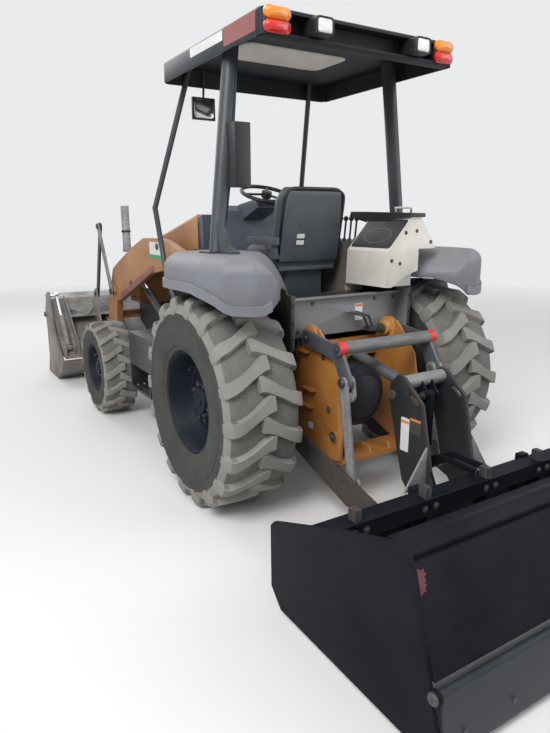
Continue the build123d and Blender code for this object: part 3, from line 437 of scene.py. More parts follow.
def softened(node, finish, width):
    """A copy of a CAD node with its flat faces joined and its edges rounded, which stands for the node."""
    source = frame["nodes"][node]
    piece = source.copy()
    piece.data = source.data.copy()
    piece.name = node + "_finish"
    for key in [key for key in piece.keys() if key.startswith("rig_")]:
        del piece[key]
    bpy.context.scene.collection.objects.link(piece)
    shell = bmesh.new()
    shell.from_mesh(piece.data)
    bmesh.ops.remove_doubles(shell, verts=shell.verts, dist=SAME_PLACE)
    bmesh.ops.dissolve_limit(shell, angle_limit=radians(FLAT_ANGLE), verts=shell.verts, edges=shell.edges)
    shell.to_mesh(piece.data)
    shell.free()
    piece.data.materials.clear()
    piece.data.materials.append(FINISH[finish])
    piece.data.polygons.foreach_set("use_smooth", [True] * len(piece.data.polygons))
    bevel = piece.modifiers.new("edges", "BEVEL")
    bevel.width = width
    bevel.segments = 2
    bevel.limit_method = "ANGLE"
    bevel.angle_limit = radians(EDGE_ANGLE)
    bevel.harden_normals = True
    bevel.use_clamp_overlap = True
    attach(piece, BODY_OF[node])
    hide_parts(node)
    return piece


def turned(place, right, up, back):
    """The matrix of an object at the place with its X, Y and Z axes along right, up and back."""
    pose = np.eye(4)
    pose[:3, 0], pose[:3, 1], pose[:3, 2], pose[:3, 3] = right, up, back, place
    return Matrix(pose.tolist())


# Stage

BACKDROP = (0.82, 0.83, 0.84, 1.0)
WORLD_LIGHT = (0.93, 0.95, 1.0, 1.0)
WORLD_STRENGTH = 0.55
EYE = (-3.214, 2.358, 1.728)  # from the rear axle, fitted to the photograph
EYE_YAW, EYE_PITCH, EYE_ROLL = radians(-31.58), radians(13.96), radians(0.26)
FLOOR_REACH = 190.0
FLOOR_FADE = (4.5, 13.0)  # where the floor starts to show the backdrop's colour, and where it shows it alone
# Lamps: place, width, power, all aimed at the machine's middle
LAMPS = {"key": ((-4.5, 5.5, 7.0), 4.0, 640.0), "fill": ((-6.0, -5.0, 4.0), 6.0, 210.0),
         "front": ((7.0, 1.0, 6.0), 6.0, 270.0)}
LAMP_AIM = (0.0, 0.0, 1.0)


def put_camera(scene):
    """The photograph's camera: its axes are turned by yaw, then pitch, then roll about its own line of sight."""
    data = bpy.data.cameras.new("photo_camera")
    data.sensor_fit = "HORIZONTAL"
    data.sensor_width = 36.0
    data.lens = settings().lens_mm
    data.clip_end = 600.0
    camera = linked("photo_camera", data)
    level = np.array((cos(EYE_YAW), sin(EYE_YAW), 0.0))
    right = np.array((sin(EYE_YAW), -cos(EYE_YAW), 0.0))
    ahead = level * cos(EYE_PITCH) - np.array(UP) * sin(EYE_PITCH)
    down = -(np.array(UP) * cos(EYE_PITCH) + level * sin(EYE_PITCH))
    across = right * cos(EYE_ROLL) + down * sin(EYE_ROLL)
    below = down * cos(EYE_ROLL) - right * sin(EYE_ROLL)
    camera.matrix_world = turned(at(*EYE), across, -below, -ahead)
    scene.camera = camera


def put_floor():
    """A pale floor which shows the camera the backdrop's own colour far from the machine."""
    tree = Tree(bpy.data.materials.new("pale_floor"))
    tree.finish(tuple(settings().floor), 0.9, specular=0.1)
    distance = tree.add("VectorMath", {0: tree.place()}, operation="LENGTH").outputs["Value"]
    fade = tree.maths("MULTIPLY", tree.ramp(distance, *FLOOR_FADE), tree.ray_is("Camera"))
    plain = tree.add("Emission", {"Color": BACKDROP})
    blend = tree.add("MixShader", {0: fade, 1: tree.shader.outputs[0], 2: plain.outputs[0]})
    tree.put(tree.nodes["Material Output"].inputs["Surface"], blend.outputs[0])
    mesh = bpy.data.meshes.new("floor")
    mesh.from_pydata([(x * FLOOR_REACH, y * FLOOR_REACH, 0) for x, y in ((-1, -1), (1, -1), (1, 1), (-1, 1))], [],
                     [(0, 1, 2, 3)])
    mesh.materials.append(tree.owner)
    floor = linked("floor", mesh)


def put_light(scene):
    """Soft lamps and a world that is seen as the plain backdrop."""
    world = Tree(bpy.data.worlds.new("studio"))
    scene.world = world.owner
    light = world.nodes["Background"]
    world.put(light.inputs["Color"], WORLD_LIGHT)
    world.put(light.inputs["Strength"], WORLD_STRENGTH)
    shown = world.add("Background", {"Color": BACKDROP, "Strength": 1.0})
    mixer = world.add("MixShader", {0: world.ray_is("Camera", "Transmission", "Glossy"), 1: light.outputs[0],
                                    2: shown.outputs[0]})
    world.put(world.nodes["World Output"].inputs["Surface"], mixer.outputs[0])
    for name, (place, width, power) in LAMPS.items():
        data = bpy.data.lights.new(name, "AREA")
        data.size = width
        data.energy = power
        lamp = linked(name, data)
        aim = unit(np.array(LAMP_AIM) - np.array(place))
        right = unit(np.cross(aim, UP))
        lamp.matrix_world = turned(place, right, np.cross(right, aim), -aim)


class LOADER_OT_stage(bpy.types.Operator):
    """Sets the camera of the photograph, the pale floor and soft studio light"""

    bl_idname = "loader.stage"
    bl_label = "Stage"

    def execute(self, context):
        context.scene.view_settings.view_transform = "Standard"
        put_camera(context.scene)
        put_floor()
        put_light(context.scene)
        return {"FINISHED"}


# Finishes

FINISH = {}

# Paints: colour or the property that holds it, dust, roughness, chips, gloss
PAINTS = {
    "black_paint": ("black", 0.2, 0.42, 0.25, 0.4),
    # The box's black paint, set darker and almost without gloss so that it renders as dark as the box stood in shade:
    # its own black with painted shade.
    "box_black": ((0.005, 0.007, 0.0115), 0.03, 0.5, 0.3, 0.05),
    "roof_black": ((0.014, 0.019, 0.027), 0.16, 0.34, 0.2, 0.4),
    "tray_black": ((0.010, 0.012, 0.016), 0.05, 0.6, 0.25, 0.25),
    "grey_paint": ((0.07, 0.079, 0.092), 0.2, 0.42),
    "post_grey": ((0.040, 0.047, 0.056), 0.12, 0.45, 0.25, 0.4),
    "panel_grey": ((0.19, 0.198, 0.205), 0.25, 0.5),
    "drum_blue": ((0.012, 0.018, 0.028), 0.12, 0.5, 0.25, 0.4),
    "ochre_paint": ((0.50, 0.235, 0.045), 0.2, 0.45, 0.5),
    # The arms' lower band under the panel: the tan paint as it looks in shade, a painted shade.
    "strut_red": ((0.20, 0.065, 0.058), 0.25, 0.5, 0.3),
    "tan_paint": ("tan", 0.42, 0.45, 0.4),
    "flap_grey": ((0.015, 0.020, 0.028), 0.06, 0.45, 0.4, 0.25),
    "hitch_tan": ((0.38, 0.150, 0.028), 0.16, 0.45, 0.5),
    "mast_grey": ((0.021, 0.021, 0.024), 0.07, 0.5, 0.25, 0.3),
    "console_taupe": ((0.115, 0.098, 0.083), 0.2, 0.55),
    "rim_paint": ((0.005, 0.009, 0.017), 0.05, 0.5, 0.25, 0.1),
    "engine_cast": ((0.03, 0.03, 0.03), 0.3, 0.6),
    "hub_red": ((0.17, 0.045, 0.04), 0.3, 0.5),
    "red_band_paint": ((0.72, 0.012, 0.014), 0.12, 0.45, 0.1),
    "smear_red": ((0.095, 0.006, 0.012), 0.05, 0.5, 0.6),
    "label_white": ((0.70, 0.70, 0.68), 0.15, 0.4, 0.3),
    "label_orange": ((0.75, 0.2, 0.03), 0.2, 0.4, 0.2),
    "label_green": ((0.02, 0.30, 0.09), 0.15, 0.4, 0.1),
    "label_dark": ((0.03, 0.03, 0.03), 0.2, 0.4, 0.1),
    "label_red": ((0.20, 0.035, 0.03), 0.2, 0.4, 0.2),
}
# Steels: colour, rust's colour, rust's share, roughness, metallic
STEELS = {
    "link_grey": ((0.27, 0.27, 0.273), (0.11, 0.085, 0.065), 0.35, 0.5, 0.25),
    "link_brown": ((0.060, 0.052, 0.047), (0.10, 0.07, 0.05), 0.5, 0.55, 0.2),
    "tube_grey": ((0.165, 0.165, 0.17), (0.11, 0.085, 0.065), 0.3, 0.5, 0.2),
    "dusty_steel": ((0.24, 0.235, 0.225), (0.17, 0.11, 0.07), 0.5, 0.5, 0.55),
    "bolt_steel": ((0.10, 0.10, 0.10), (0.12, 0.07, 0.04), 0.4, 0.45, 0.8),
    "bright_steel": ((0.42, 0.42, 0.41), (0.2, 0.15, 0.1), 0.3, 0.38, 0.7),
}
# Rubbers: colour, dust
RUBBERS = {
    "tyre_rubber": ((0.021, 0.021, 0.022), 0.16),
    "tread_low": ((0.075, 0.072, 0.068), 0.5),
    "tread_rubber": ((0.175, 0.168, 0.156), 0.66),
}
# Plastics: colour or property, roughness, dust, fineness of the grain
PLASTICS = {
    "grey_plastic": ("grey", 0.5, 0.35),
    "cowl_plastic": ((0.052, 0.066, 0.086), 0.5, 0.12),
    "seat_vinyl": ((0.062, 0.073, 0.085), 0.5, 0.2, 900.0),
    "beige_plastic": ((0.60, 0.575, 0.52), 0.5, 0.2),
    "black_plastic": ((0.012, 0.012, 0.014), 0.45, 0.08),
}
LENSES = {"lamp_glass": ((0.72, 0.73, 0.72),), "amber_lens": ((0.83, 0.25, 0.015),), "red_lens": ((0.62, 0.015, 0.01),)}


class LOADER_OT_finishes(bpy.types.Operator):
    """Mixes the paints, steels, rubbers, plastics and lenses"""

    bl_idname = "loader.finishes"
    bl_label = "Finishes"

    def execute(self, context):
        for make, table in ((painted, PAINTS), (worn_steel, STEELS), (rubber, RUBBERS), (moulded, PLASTICS),
                            (lens, LENSES), (chrome, {"chrome_rod": (CHROME,)})):
            for name, (colour, *values) in table.items():
                if isinstance(colour, str):
                    colour = tuple(getattr(settings(), colour))
                FINISH[name] = make(Tree(bpy.data.materials.new(name)), colour, *values)
        return {"FINISHED"}


# The frame's own pieces

# Nodes kept as they are but for rounded edges: node, finish, rounding in millimetres
DRESSED = [
    ("main_frame", "black_paint", 4), ("axles", "drum_blue", 5), ("engine_block", "engine_cast", 12),
    ("grille_nose", "tan_paint", 4), ("exhaust_stack", "link_grey", 2), ("cowl", "cowl_plastic", 8),
    ("platform_and_boxes", "black_paint", 5), ("fenders", "grey_plastic", 6), ("seat", "seat_vinyl", 20),
    ("console", "beige_plastic", 8), ("canopy_frame", "post_grey", 3), ("canopy_roof", "roof_black", 6),
    ("work_lamps", "black_plastic", 8), ("hitch_plates", "hitch_tan", 3), ("hood", "tan_paint", 4),
    ("steering_wheel", "black_plastic", 2), ("knuckle_left", "black_paint", 3), ("knuckle_right", "black_paint", 3),
    ("loader_arms", "tan_paint", 5), ("lift_barrels", "black_paint", 2), ("lift_rods", "chrome_rod", 1),
    ("tilt_levers", "dusty_steel", 3), ("tilt_links", "black_paint", 3), ("tilt_barrels", "black_paint", 2),
    ("tilt_rods", "chrome_rod", 1), ("bucket_back", "dusty_steel", 3), ("jaw_barrels", "dusty_steel", 2),
    ("bucket_jaw", "dusty_steel", 3), ("jaw_rods", "chrome_rod", 1), ("rockshaft", "grey_paint", 3),
    ("lift_links", "link_grey", 3), ("lower_links", "link_brown", 3), ("top_link", "grey_paint", 2),
    # The box scraper and scarifier bar take the darkened black: their own black with painted shade.
    ("box_scraper", "box_black", 3), ("scraper_flap", "flap_grey", 2), ("scarifier_bar", "box_black", 3),
]

# Faces with a finish of their own: node, finish, lowest and highest corner from the rear axle, on both sides
TRIMS = [
    # The arms' lower band under the panel, darker and redder than the tan: painted shade.
    ("loader_arms", "strut_red", (1.600, 0.5607, 0.900), (2.720, 0.5695, 1.400)),
    ("box_scraper", "mast_grey", (-1.200, 0.120, 0.350), (-0.850, 0.185, 0.920)),
    ("box_scraper", "link_grey", (-1.170, 0.172, 0.345), (-1.150, 0.325, 0.580)),
    ("hitch_plates", "ochre_paint", (-0.390, 0.3163, 0.950), (-0.230, 0.330, 1.110)),
    ("hitch_plates", "ochre_paint", (-0.390, 0.235, 0.950), (-0.230, 0.2995, 1.110)),
    ("canopy_frame", "panel_grey", (-0.270, -0.001, 0.960), (-0.130, 0.480, 1.295)),
    ("rockshaft", "tube_grey", (-0.690, -0.001, 0.975), (-0.595, 0.324, 1.065)),
    ("scarifier_bar", "bolt_steel", (-1.430, 0.000, 0.4605), (-1.370, 0.900, 0.520)),
    ("box_scraper", "panel_grey", (-0.980, -0.001, 0.820), (-0.890, 0.149, 0.905)),
    ("canopy_roof", "tray_black", (-0.400, -0.001, 2.630), (0.960, 0.680, 2.757)),
    ("console", "console_taupe", (-0.340, 0.299, 1.080), (0.570, 0.301, 1.600)),
    ("console", "black_plastic", (-0.420, 0.355, 1.738), (0.195, 0.495, 1.780)),
    ("console", "black_plastic", (0.060, 0.340, 1.541), (0.420, 0.410, 1.760)),
    ("canopy_frame", "black_paint", (-0.075, 0.560, 1.905), (0.075, 0.672, 2.270)),
    ("canopy_frame", "black_plastic", (0.920, 0.295, 2.415), (0.965, 0.480, 2.575)),
]

# Corners drawn out to the real one's depth: node, lowest and highest corner from the rear axle, shift
SHIFTS = [
    ("canopy_roof", (-0.377, -0.001, 2.673), (0.960, 0.682, 2.675), (0.0, 0.0, 0.070)),
    ("canopy_roof", (-0.3775, -0.001, 2.630), (-0.370, 0.682, 2.760), (0.082, 0.0, 0.0)),
    ("canopy_roof", (-0.3790, -0.001, 2.640), (-0.3779, 0.682, 2.760), (0.070, 0.0, 0.0)),
    ("canopy_frame", (-0.500, -0.001, 2.6735), (1.500, 0.900, 2.680), (0.0, 0.0, 0.070)),
    ("work_lamps", (-0.380, -0.001, 2.640), (-0.370, 0.500, 2.750), (0.070, 0.0, 0.0)),
    ("canopy_frame", (-0.071, 0.560, 1.905), (-0.069, 0.672, 2.270), (0.030, 0.0, 0.0)),
    ("canopy_frame", (0.069, 0.560, 1.905), (0.071, 0.672, 2.270), (-0.020, 0.0, 0.0)),
]


def corner_mask(places, low, high):
    """Which points lie between the corners, given from the rear axle, with both sides of the machine as one."""
    places = places.copy()
    places[:, 0] += ORIGIN_X
    places[:, 1] = np.abs(places[:, 1])
    return np.all((places >= low) & (places <= high), axis=1)


def reshaped(piece, node):
    """Moves the corners that the table names, as whole arrays."""
    for name, low, high, shift in SHIFTS:
        if name == node:
            places = np.empty(len(piece.data.vertices) * 3)
            piece.data.vertices.foreach_get("co", places)
            places = places.reshape(-1, 3)
            places[corner_mask(places, low, high)] += shift
            piece.data.vertices.foreach_set("co", places.ravel())
    piece.data.update()


def refinish(piece, finish, mask_of):
    """Gives the faces whose middles the mask picks a finish of their own."""
    mesh = piece.data
    middles = np.empty(len(mesh.polygons) * 3)
    mesh.polygons.foreach_get("center", middles)
    index = np.empty(len(mesh.polygons), np.int32)
    mesh.polygons.foreach_get("material_index", index)
    mesh.materials.append(FINISH[finish])
    index[mask_of(middles.reshape(-1, 3))] = len(mesh.materials) - 1
    mesh.polygons.foreach_set("material_index", index)


class LOADER_OT_dress_frame(bpy.types.Operator):
    """Rounds the edges of the frame's own pieces and paints them"""

    bl_idname = "loader.dress_frame"
    bl_label = "Frame pieces"

    def execute(self, context):
        for node, finish, rounding in DRESSED:
            piece = softened(node, finish, rounding / 1000 * settings().edges)
            reshaped(piece, node)
            for name, own, low, high in TRIMS:
                if name == node:
                    refinish(piece, own, lambda middles: corner_mask(middles, low, high))
        return {"FINISHED"}


# Wheels

WHEELS = [
    SimpleNamespace(axle="rear", x=0.0, y=0.805, radius=0.650, width=0.470, rim=0.318, inset=0.070,
                    lugs=18, depth=0.038, lug=0.074, dish=0.040, hub=0.120, reach=0.070, nuts="bolt_steel"),
    SimpleNamespace(axle="front", x=2.140, y=0.868, radius=0.415, width=0.300, rim=0.216, inset=0.044,
                    lugs=16, depth=0.026, lug=0.054, dish=0.030, hub=0.090, reach=0.060, nuts="hub_red"),
]
NUTS = 8
SHOULDER = 0.84  # of the radius: the tread starts here
GAP_DEPTH, GAP_REACH = 0.8, 0.43  # of the lugs' depth and of the tyre's width: where the tread shows the carcass
CROWN_RADIUS = 0.65  # of the tyre that TOP_FALL is given for
LUG_RISE = 0.52  # of half the width: how far a lug runs round the tyre
# Along a lug: knots of s, then the crown's y and fall at them, in halves of the tyre's width and for a 0.65 m tyre
LUG_S = [0.0, 0.05, 0.12, 0.2, 0.3, 0.4, 0.5, 0.6, 0.7, 0.8, 0.88, 0.94, 0.98, 1.0]
LUG_KNOTS = [0.0, 0.08, 0.16, 0.28, 0.5, 0.8, 1.0]
TOP_Y = np.array([0.995, 1.0, 0.97, 0.84, 0.5, 0.02, -0.17])
TOP_FALL = np.array([0.115, 0.07, 0.026, 0.006, 0.002, 0.0, 0.0])
BASE_Y = np.array([0.985, 0.965, 0.94, 0.82, 0.5, 0.02, -0.17])
BASE_FALL = np.array([3.6, 2.1, 1.6, 1.15, 1.02, 1.0, 1.0])
RISE_KNOTS, RISE = [0, 0.16, 0.36, 0.5, 0.8, 0.88, 1.0], np.array([0, 0.01, 0.14, 0.36, 0.92, 1.0, 1.0])
WIDE_KNOTS, WIDE = [0, 0.1, 0.3, 0.55, 0.8, 0.88, 1.0], np.array([0.80, 1.10, 1.02, 0.84, 1.10, 1.22, 1.10])
# Around a lug: part of its width, part of its height
LUG_SECTION = np.array([(-0.66, -0.25), (-0.61, 0.0), (-0.52, 0.88), (-0.48, 1.0), (0.0, 1.01), (0.48, 1.0),
                        (0.52, 0.88), (0.61, 0.0), (0.66, -0.25)])
# The sidewall from the rim outwards: part of the half width, part of the way from rim to tread
SIDEWALL = [(0.89, 0.0), (0.915, 0.02), (0.93, 0.07), (0.925, 0.085), (0.955, 0.11), (0.98, 0.22), (0.996, 0.36),
            (1.0, 0.44), (1.0, 0.50), (0.988, 0.505), (0.988, 0.60), (0.996, 0.61), (0.99, 0.68), (0.95, 0.76)]


def lug_ring(w):
    """The lugs of a tyre about the Y axis, one closed bar each, staggered from side to side.

    Along a bar s runs from the shoulder (0) to the nose (1). Its middle follows the tyre's crown (y(s), r(s)) at the
    angle a(s) = a0 - rise(s)/R. Around the bar a section of (c, g) pairs gives angle a(s) + c*w(s)/R and the radius
    between the carcass (g = 0) and the tread (g = 1).
    """
    half = w.width / 2
    s = np.array(LUG_S)
    top_y = np.interp(s, LUG_KNOTS, TOP_Y * half)
    top_r = np.interp(s, LUG_KNOTS, w.radius - TOP_FALL * w.radius / CROWN_RADIUS)
    base_y = np.interp(s, LUG_KNOTS, BASE_Y * half)
    base_r = np.interp(s, LUG_KNOTS, w.radius - BASE_FALL * w.depth)
    rise = np.interp(s, RISE_KNOTS, RISE * LUG_RISE * half)
    wide = np.interp(s, WIDE_KNOTS, WIDE)
    c, g = LUG_SECTION[None, :, 0], LUG_SECTION[None, :, 1]
    y = base_y[:, None] + g * (top_y - base_y)[:, None]
    r = base_r[:, None] + g * (top_r - base_r)[:, None]
    turn = (c * (wide * w.lug)[:, None] - rise[:, None]) / w.radius
    faces = tube_faces(*y.shape)
    parts = []
    for side, _ in SIDES:
        start = 2 * pi / w.lugs * (np.arange(w.lugs) + (0.0 if side > 0 else 0.5))
        angle = start[:, None, None] + turn[None]
        points = np.stack([r * np.cos(angle), side * y * np.ones_like(angle), r * np.sin(angle)], axis=-1)
        parts += [(bar.reshape(-1, 3), faces) for bar in points]
    return gather(parts)


def tyre_body(w):
    """The carcass: a closed profile about the Y axis with a crowned tread, bulged sidewalls and raised rings."""
    half = w.width / 2
    left = [(half * y, w.rim + (w.radius - w.rim) * h) for y, h in SIDEWALL]
    left += [(half * y, w.radius - w.depth * fall) for y, fall in ((0.90, 1.55), (0.74, 1.05), (0.4, 1.0))]
    return lathe(left + [(-y, r) for y, r in reversed(left)], (0, 0, 0), TO_LEFT, 96, closed=True)


def rim_body(w):
    """A wheel about the Y axis, its outer side towards +Y: flange, well, dished disc and stepped hub."""
    half, rim, dish, hub = (w.width - w.inset) / 2, w.rim, w.dish, w.hub
    face, shaft = dish + w.reach, 0.002
    profile = [(-half + 0.008, rim - 0.001), (-half + 0.003, rim - 0.006), (-half + 0.004, rim - 0.016),
               (-half + 0.012, rim - 0.024), (-half * 0.35, rim - 0.060), (dish - 0.006, rim - 0.066),
               (dish - 0.006, hub * 0.9), (dish - 0.03, hub * 0.8), (dish - 0.03, shaft), (face + 0.024, shaft),
               (face + 0.024, hub * 0.30), (face + 0.018, hub * 0.34), (face + 0.018, hub * 0.66),
               (face + 0.012, hub * 0.70), (face, hub * 0.72), (face, hub * 0.92), (face - 0.008, hub),
               (dish + 0.03, hub), (dish + 0.016, hub * 1.08), (dish + 0.012, hub * 1.22), (dish + 0.020, rim * 0.62),
               (dish + 0.012, rim - 0.085), (dish + 0.018, rim - 0.072), (half * 0.40, rim - 0.060),
               (half * 0.62, rim - 0.040), (half - 0.016, rim - 0.024), (half - 0.004, rim - 0.016),
               (half - 0.003, rim - 0.006), (half - 0.008, rim - 0.001)]
    return lathe(profile, (0, 0, 0), TO_LEFT, 72, closed=True)


def wheel_nuts(w):
    """Three rings of bolts, on the disc, the hub and the rim, and the valve's stem."""
    angle = 2 * pi / NUTS * (np.arange(NUTS) + 0.5)
    rings = ((w.hub * 1.42, w.dish + 0.018, 0.013, angle), (w.hub * 0.8, w.dish + w.reach, 0.009, angle),
             (w.rim - 0.078, w.dish + 0.014, 0.011, angle + pi / NUTS))
    parts = [bolt((r * cos(a), y, r * sin(a)), TO_LEFT, size) for r, y, size, turns in rings for a in turns]
    foot, tip = (w.rim - 0.07) * 0.7, (w.rim - 0.08) * 0.66
    stem = rounded([(foot, w.dish + 0.02, foot), (foot, w.dish + 0.05, foot), (tip, w.dish + 0.075, tip)], 0.01)
    return gather(parts + [sweep(stem, circle(0.005), (1, 0, -1))])


def radius_of(middles):
    """Distance of each place from the axle's line."""
    return np.hypot(middles[:, 0], middles[:, 2])


def tread_gap(middles, w):
    """Which faces are the carcass between the lugs."""
    r, y = radius_of(middles), np.abs(middles[:, 1])
    return (r > w.radius * SHOULDER) & (r < w.radius - GAP_DEPTH * w.depth) & (y < GAP_REACH * w.width)


class LOADER_OT_wheels(bpy.types.Operator):
    """Builds the tyres with their lugs and the rims with their bolts"""

    bl_idname = "loader.wheels"
    bl_label = "Wheels"

    def execute(self, context):
        for w in WHEELS:
            rows = (("tyre", gather([tyre_body(w), lug_ring(w)]), "tyre", "tyre_rubber", 28),
                    ("rim", rim_body(w), "rim", "rim_paint", 38), ("wheel_bolts", wheel_nuts(w), "rim", w.nuts, 38))
            for side, word in SIDES:
                body = BODY_OF[f"{w.axle}_tyre_{word}"]
                place = np.array(at(w.x, side * w.y, w.radius))
                for name, (points, faces), slot, finish, sharp in rows:
                    piece = put_piece(f"{w.axle}_{name}_{word}_finish", (points * (1, side, 1) + place, faces), slot,
                                      finish, body, sharp=sharp)
                    if name == "tyre":
                        tread = w.radius * SHOULDER
                        refinish(piece, "tread_rubber", lambda middles: radius_of(middles - place) > tread)
                        refinish(piece, "tread_low", lambda middles: tread_gap(middles - place, w))
                    if name != "wheel_bolts":
                        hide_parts(f"{w.axle}_{name}_{word}")
        return {"FINISHED"}


# Fenders: the left one's plan from the front inner corner to the rear one
FENDER_PLAN = [(0.560, 0.475), (0.545, 0.700), (0.440, 0.920), (0.200, 1.040), (-0.260, 1.040), (-0.470, 0.985),
               (-0.560, 0.840), (-0.557, 0.745)]
# The lower edge's height along X, and round the rear inner corner along Y
EDGE_X, EDGE_Z = [-0.7, -0.5, -0.4, -0.2, 0.7], [1.232, 1.240, 1.300, 1.340, 1.330]
CORNER_Y, CORNER_Z = [0.475, 0.600, 0.690, 0.780], [1.350, 1.345, 1.300, 1.232]
CORNER_X = -0.282
LIP_SECTION = [(0.014, -0.003), (-0.0035, -0.003), (-0.0045, 0.002), (-0.0040, 0.040), (-0.0025, 0.046),
               (0.001, 0.049), (0.014, 0.047)]


class LOADER_OT_fender_lips(bpy.types.Operator):
    """Runs the rolled lip along the fenders' lower edges"""

    bl_idname = "loader.fender_lips"
    bl_label = "Fender lips"

    def execute(self, context):
        plan = rounded([(x, y, 0.0) for x, y in FENDER_PLAN], 0.05, 6)
        x, y = plan[:, 0], plan[:, 1]
        low = np.interp(x, EDGE_X, EDGE_Z)
        height = np.where(x < CORNER_X, np.maximum(low, np.interp(y, CORNER_Y, CORNER_Z)), low)
        for side, word in SIDES:
            flat = np.stack([x - ORIGIN_X, side * y, np.zeros_like(x)], axis=1)
            points, faces = sweep(flat, [(a * side, b) for a, b in LIP_SECTION])
            points[:, 2] += np.repeat(height, len(LIP_SECTION))
            put_piece("fender_lip_" + word, (points, faces), "grey_plastic")
        return {"FINISHED"}


# Bolt heads and pin ends, one piece each: body, slot, sides, then for the left side the kind, the place from the rear
# axle, the way it faces and its size. On the right side Y is mirrored.
BOTH, ONCE = (1, -1), (1,)
FITTINGS = {
    "seat_screws": ("chassis", "chrome", ONCE, [
        *((bolt, (0.146 - 0.19 * (z - 1.60), y, z), (-1, 0, -0.19), 0.008)
          for y, z in ((0.10, 1.694), (-0.198, 1.689), (0.12, 1.49), (-0.12, 1.49))),
        (bolt, (0.20, 0.304, 1.53), TO_LEFT, 0.010), (bolt, (0.20, -0.304, 1.53), TO_RIGHT, 0.010)]),
    "console_screws": ("chassis", "beige_plastic", ONCE, [
        *((bolt, (-0.400, y, z), TO_REAR, 0.008)
          for y, z in ((-0.433, 1.650), (-0.560, 1.580), (-0.300, 1.450), (-0.230, 1.470), (-0.340, 1.640))),
        *((bolt, (x, -0.600, 1.548), TO_RIGHT, 0.006) for x in (-0.34, -0.2, -0.06))]),
    "chassis_bolts": ("chassis", "chrome", BOTH, [
        (bolt, (-0.560, 0.326, 0.470), TO_LEFT, 0.020), (bolt, (-0.310, 0.242, 1.030), TO_RIGHT, 0.022),
        *((bolt, (x, 0.316, z), TO_LEFT, 0.013)
          for x, z in ((-0.21, 0.98), (-0.13, 0.86), (-0.13, 0.62), (-0.44, 0.93), (-0.50, 0.62))),
        *((bolt, (-0.323, 0.460, z), TO_LEFT, 0.011) for z in (1.04, 1.13, 1.235)),
        *((bolt, (-0.230, y, z), TO_REAR, 0.009)
          for y, z in ((0.41, 1.22), (0.25, 1.22), (0.41, 1.05), (0.36, 1.05)))]),
    "rockshaft_pins": ("rockshaft", "chrome", BOTH, [
        (pin_head, (-0.700, 0.380, 0.840), TO_LEFT, 0.026), (bolt, (-0.310, 0.350, 1.030), TO_LEFT, 0.020),
        (bolt, (-0.640, 0.372, 1.020), TO_LEFT, 0.016)]),
    "box_bolts": ("box_scraper", "black_paint", BOTH, [
        (pin_head, (-1.120, 0.434, 0.180), TO_LEFT, 0.026), (pin_head, (-2.146, 1.120, 0.262), TO_LEFT, 0.022),
        (pin_head, (-0.890, 0.170, 0.790), TO_LEFT, 0.028), (bolt, (-0.992, 0.050, 0.790), TO_LEFT, 0.014)]),
    "flap_bolts": ("scraper_flap", "black_paint", ONCE, [
        (bolt, (-2.1755, y, 0.10), (-1, 0, -0.1), 0.011) for y in np.linspace(-1.0, 1.0, 9)]),
    "arm_pins": ("loader_arms", "tan_paint", BOTH, [
        (pin_head, (1.120, 0.572, 1.420), TO_LEFT, 0.046),
        *((bolt, (1.120 + 0.062 * cos(a), 0.560, 1.420 + 0.062 * sin(a)), TO_LEFT, 0.007) for a in (0.6, 2.7, 4.8)),
        (pin_head, (1.560, 0.560, 1.510), TO_LEFT, 0.026), (pin_head, (2.300, 0.560, 1.140), TO_LEFT, 0.028)]),
    "lever_pins": ("tilt_levers", "dusty_steel", BOTH, [
        (pin_head, (2.830, 0.604, 1.020), TO_LEFT, 0.034), (pin_head, (3.150, 0.604, 1.660), TO_LEFT, 0.027)]),
    "bucket_pins": ("bucket", "dusty_steel", BOTH, [
        (pin_head, (3.130, 0.602, 0.350), TO_LEFT, 0.034), (pin_head, (3.430, 0.602, 0.935), TO_LEFT, 0.027),
        (pin_head, (3.850, 1.072, 0.690), TO_LEFT, 0.030)]),
    "edge_bolts": ("bucket_jaw", "dusty_steel", ONCE, [
        (bolt, (3.970, -0.91 + 0.26 * n, 0.0203), UP, 0.014) for n in range(8)]),
    "nose_bolts": ("chassis", "tan_paint", BOTH, [
        (bolt, (2.72 + 0.1 * n, 0.360, z), TO_LEFT, 0.009) for n in range(3) for z in (0.95, 1.36)]),
}


# Turned fittings: distance along the axis, radius
BOOT = [(0.0, 0.026), (0.012, 0.024), (0.02, 0.018), (0.03, 0.016), (0.036, 0.010)]
GAUGE_RIM = [(0.0, 0.024), (0.006, 0.024), (0.006, 0.020), (0.003, 0.019), (0.003, 0.0005)]
LINK_END = [(0.0, 0.036), (0.006, 0.038), (0.018, 0.038), (0.022, 0.030), (0.024, 0.0005)]
LINK_NUT = [(0.0, 0.040), (0.012, 0.040), (0.016, 0.034), (0.016, 0.022), (0.028, 0.020), (0.028, 0.0005)]
RED_BAND = [(0.325, 0.0384), (0.325, 0.0392), (0.368, 0.0392), (0.368, 0.0384)]
EXHAUST_BAND = [(0.0, 0.0445), (0.004, 0.0465), (0.016, 0.0465), (0.02, 0.0435)]


def fasten(name):
    """Sets one piece's bolt heads and pin ends on its sides."""
    body, slot, sides, rows = FITTINGS[name]
    parts = [make(at(x, side * y, z), (ax, side * ay, az), size) for side in sides
             for make, (x, y, z), (ax, ay, az), size in rows]
    put_piece(name, gather(parts), slot, "bolt_steel", body)


# Driver's station

# Stuffed pads: name, width, length and thickness, middle, the way the length runs
PADS = (("seat_back_pad", (0.505, 0.475, 0.115), (0.208, 0.0, 1.690), (-0.086, 0.0, 0.450)),
        ("seat_cushion_pad", (0.50, 0.47, 0.12), (0.43, 0.0, 1.495), (1, 0, 0.06)))
# The left half of the piping round the seat's back, from below
PIPING = [(0.188, 0.240, 1.452), (0.117, 0.240, 1.830), (0.106, 0.235, 1.885), (0.106, 0.180, 1.918)]


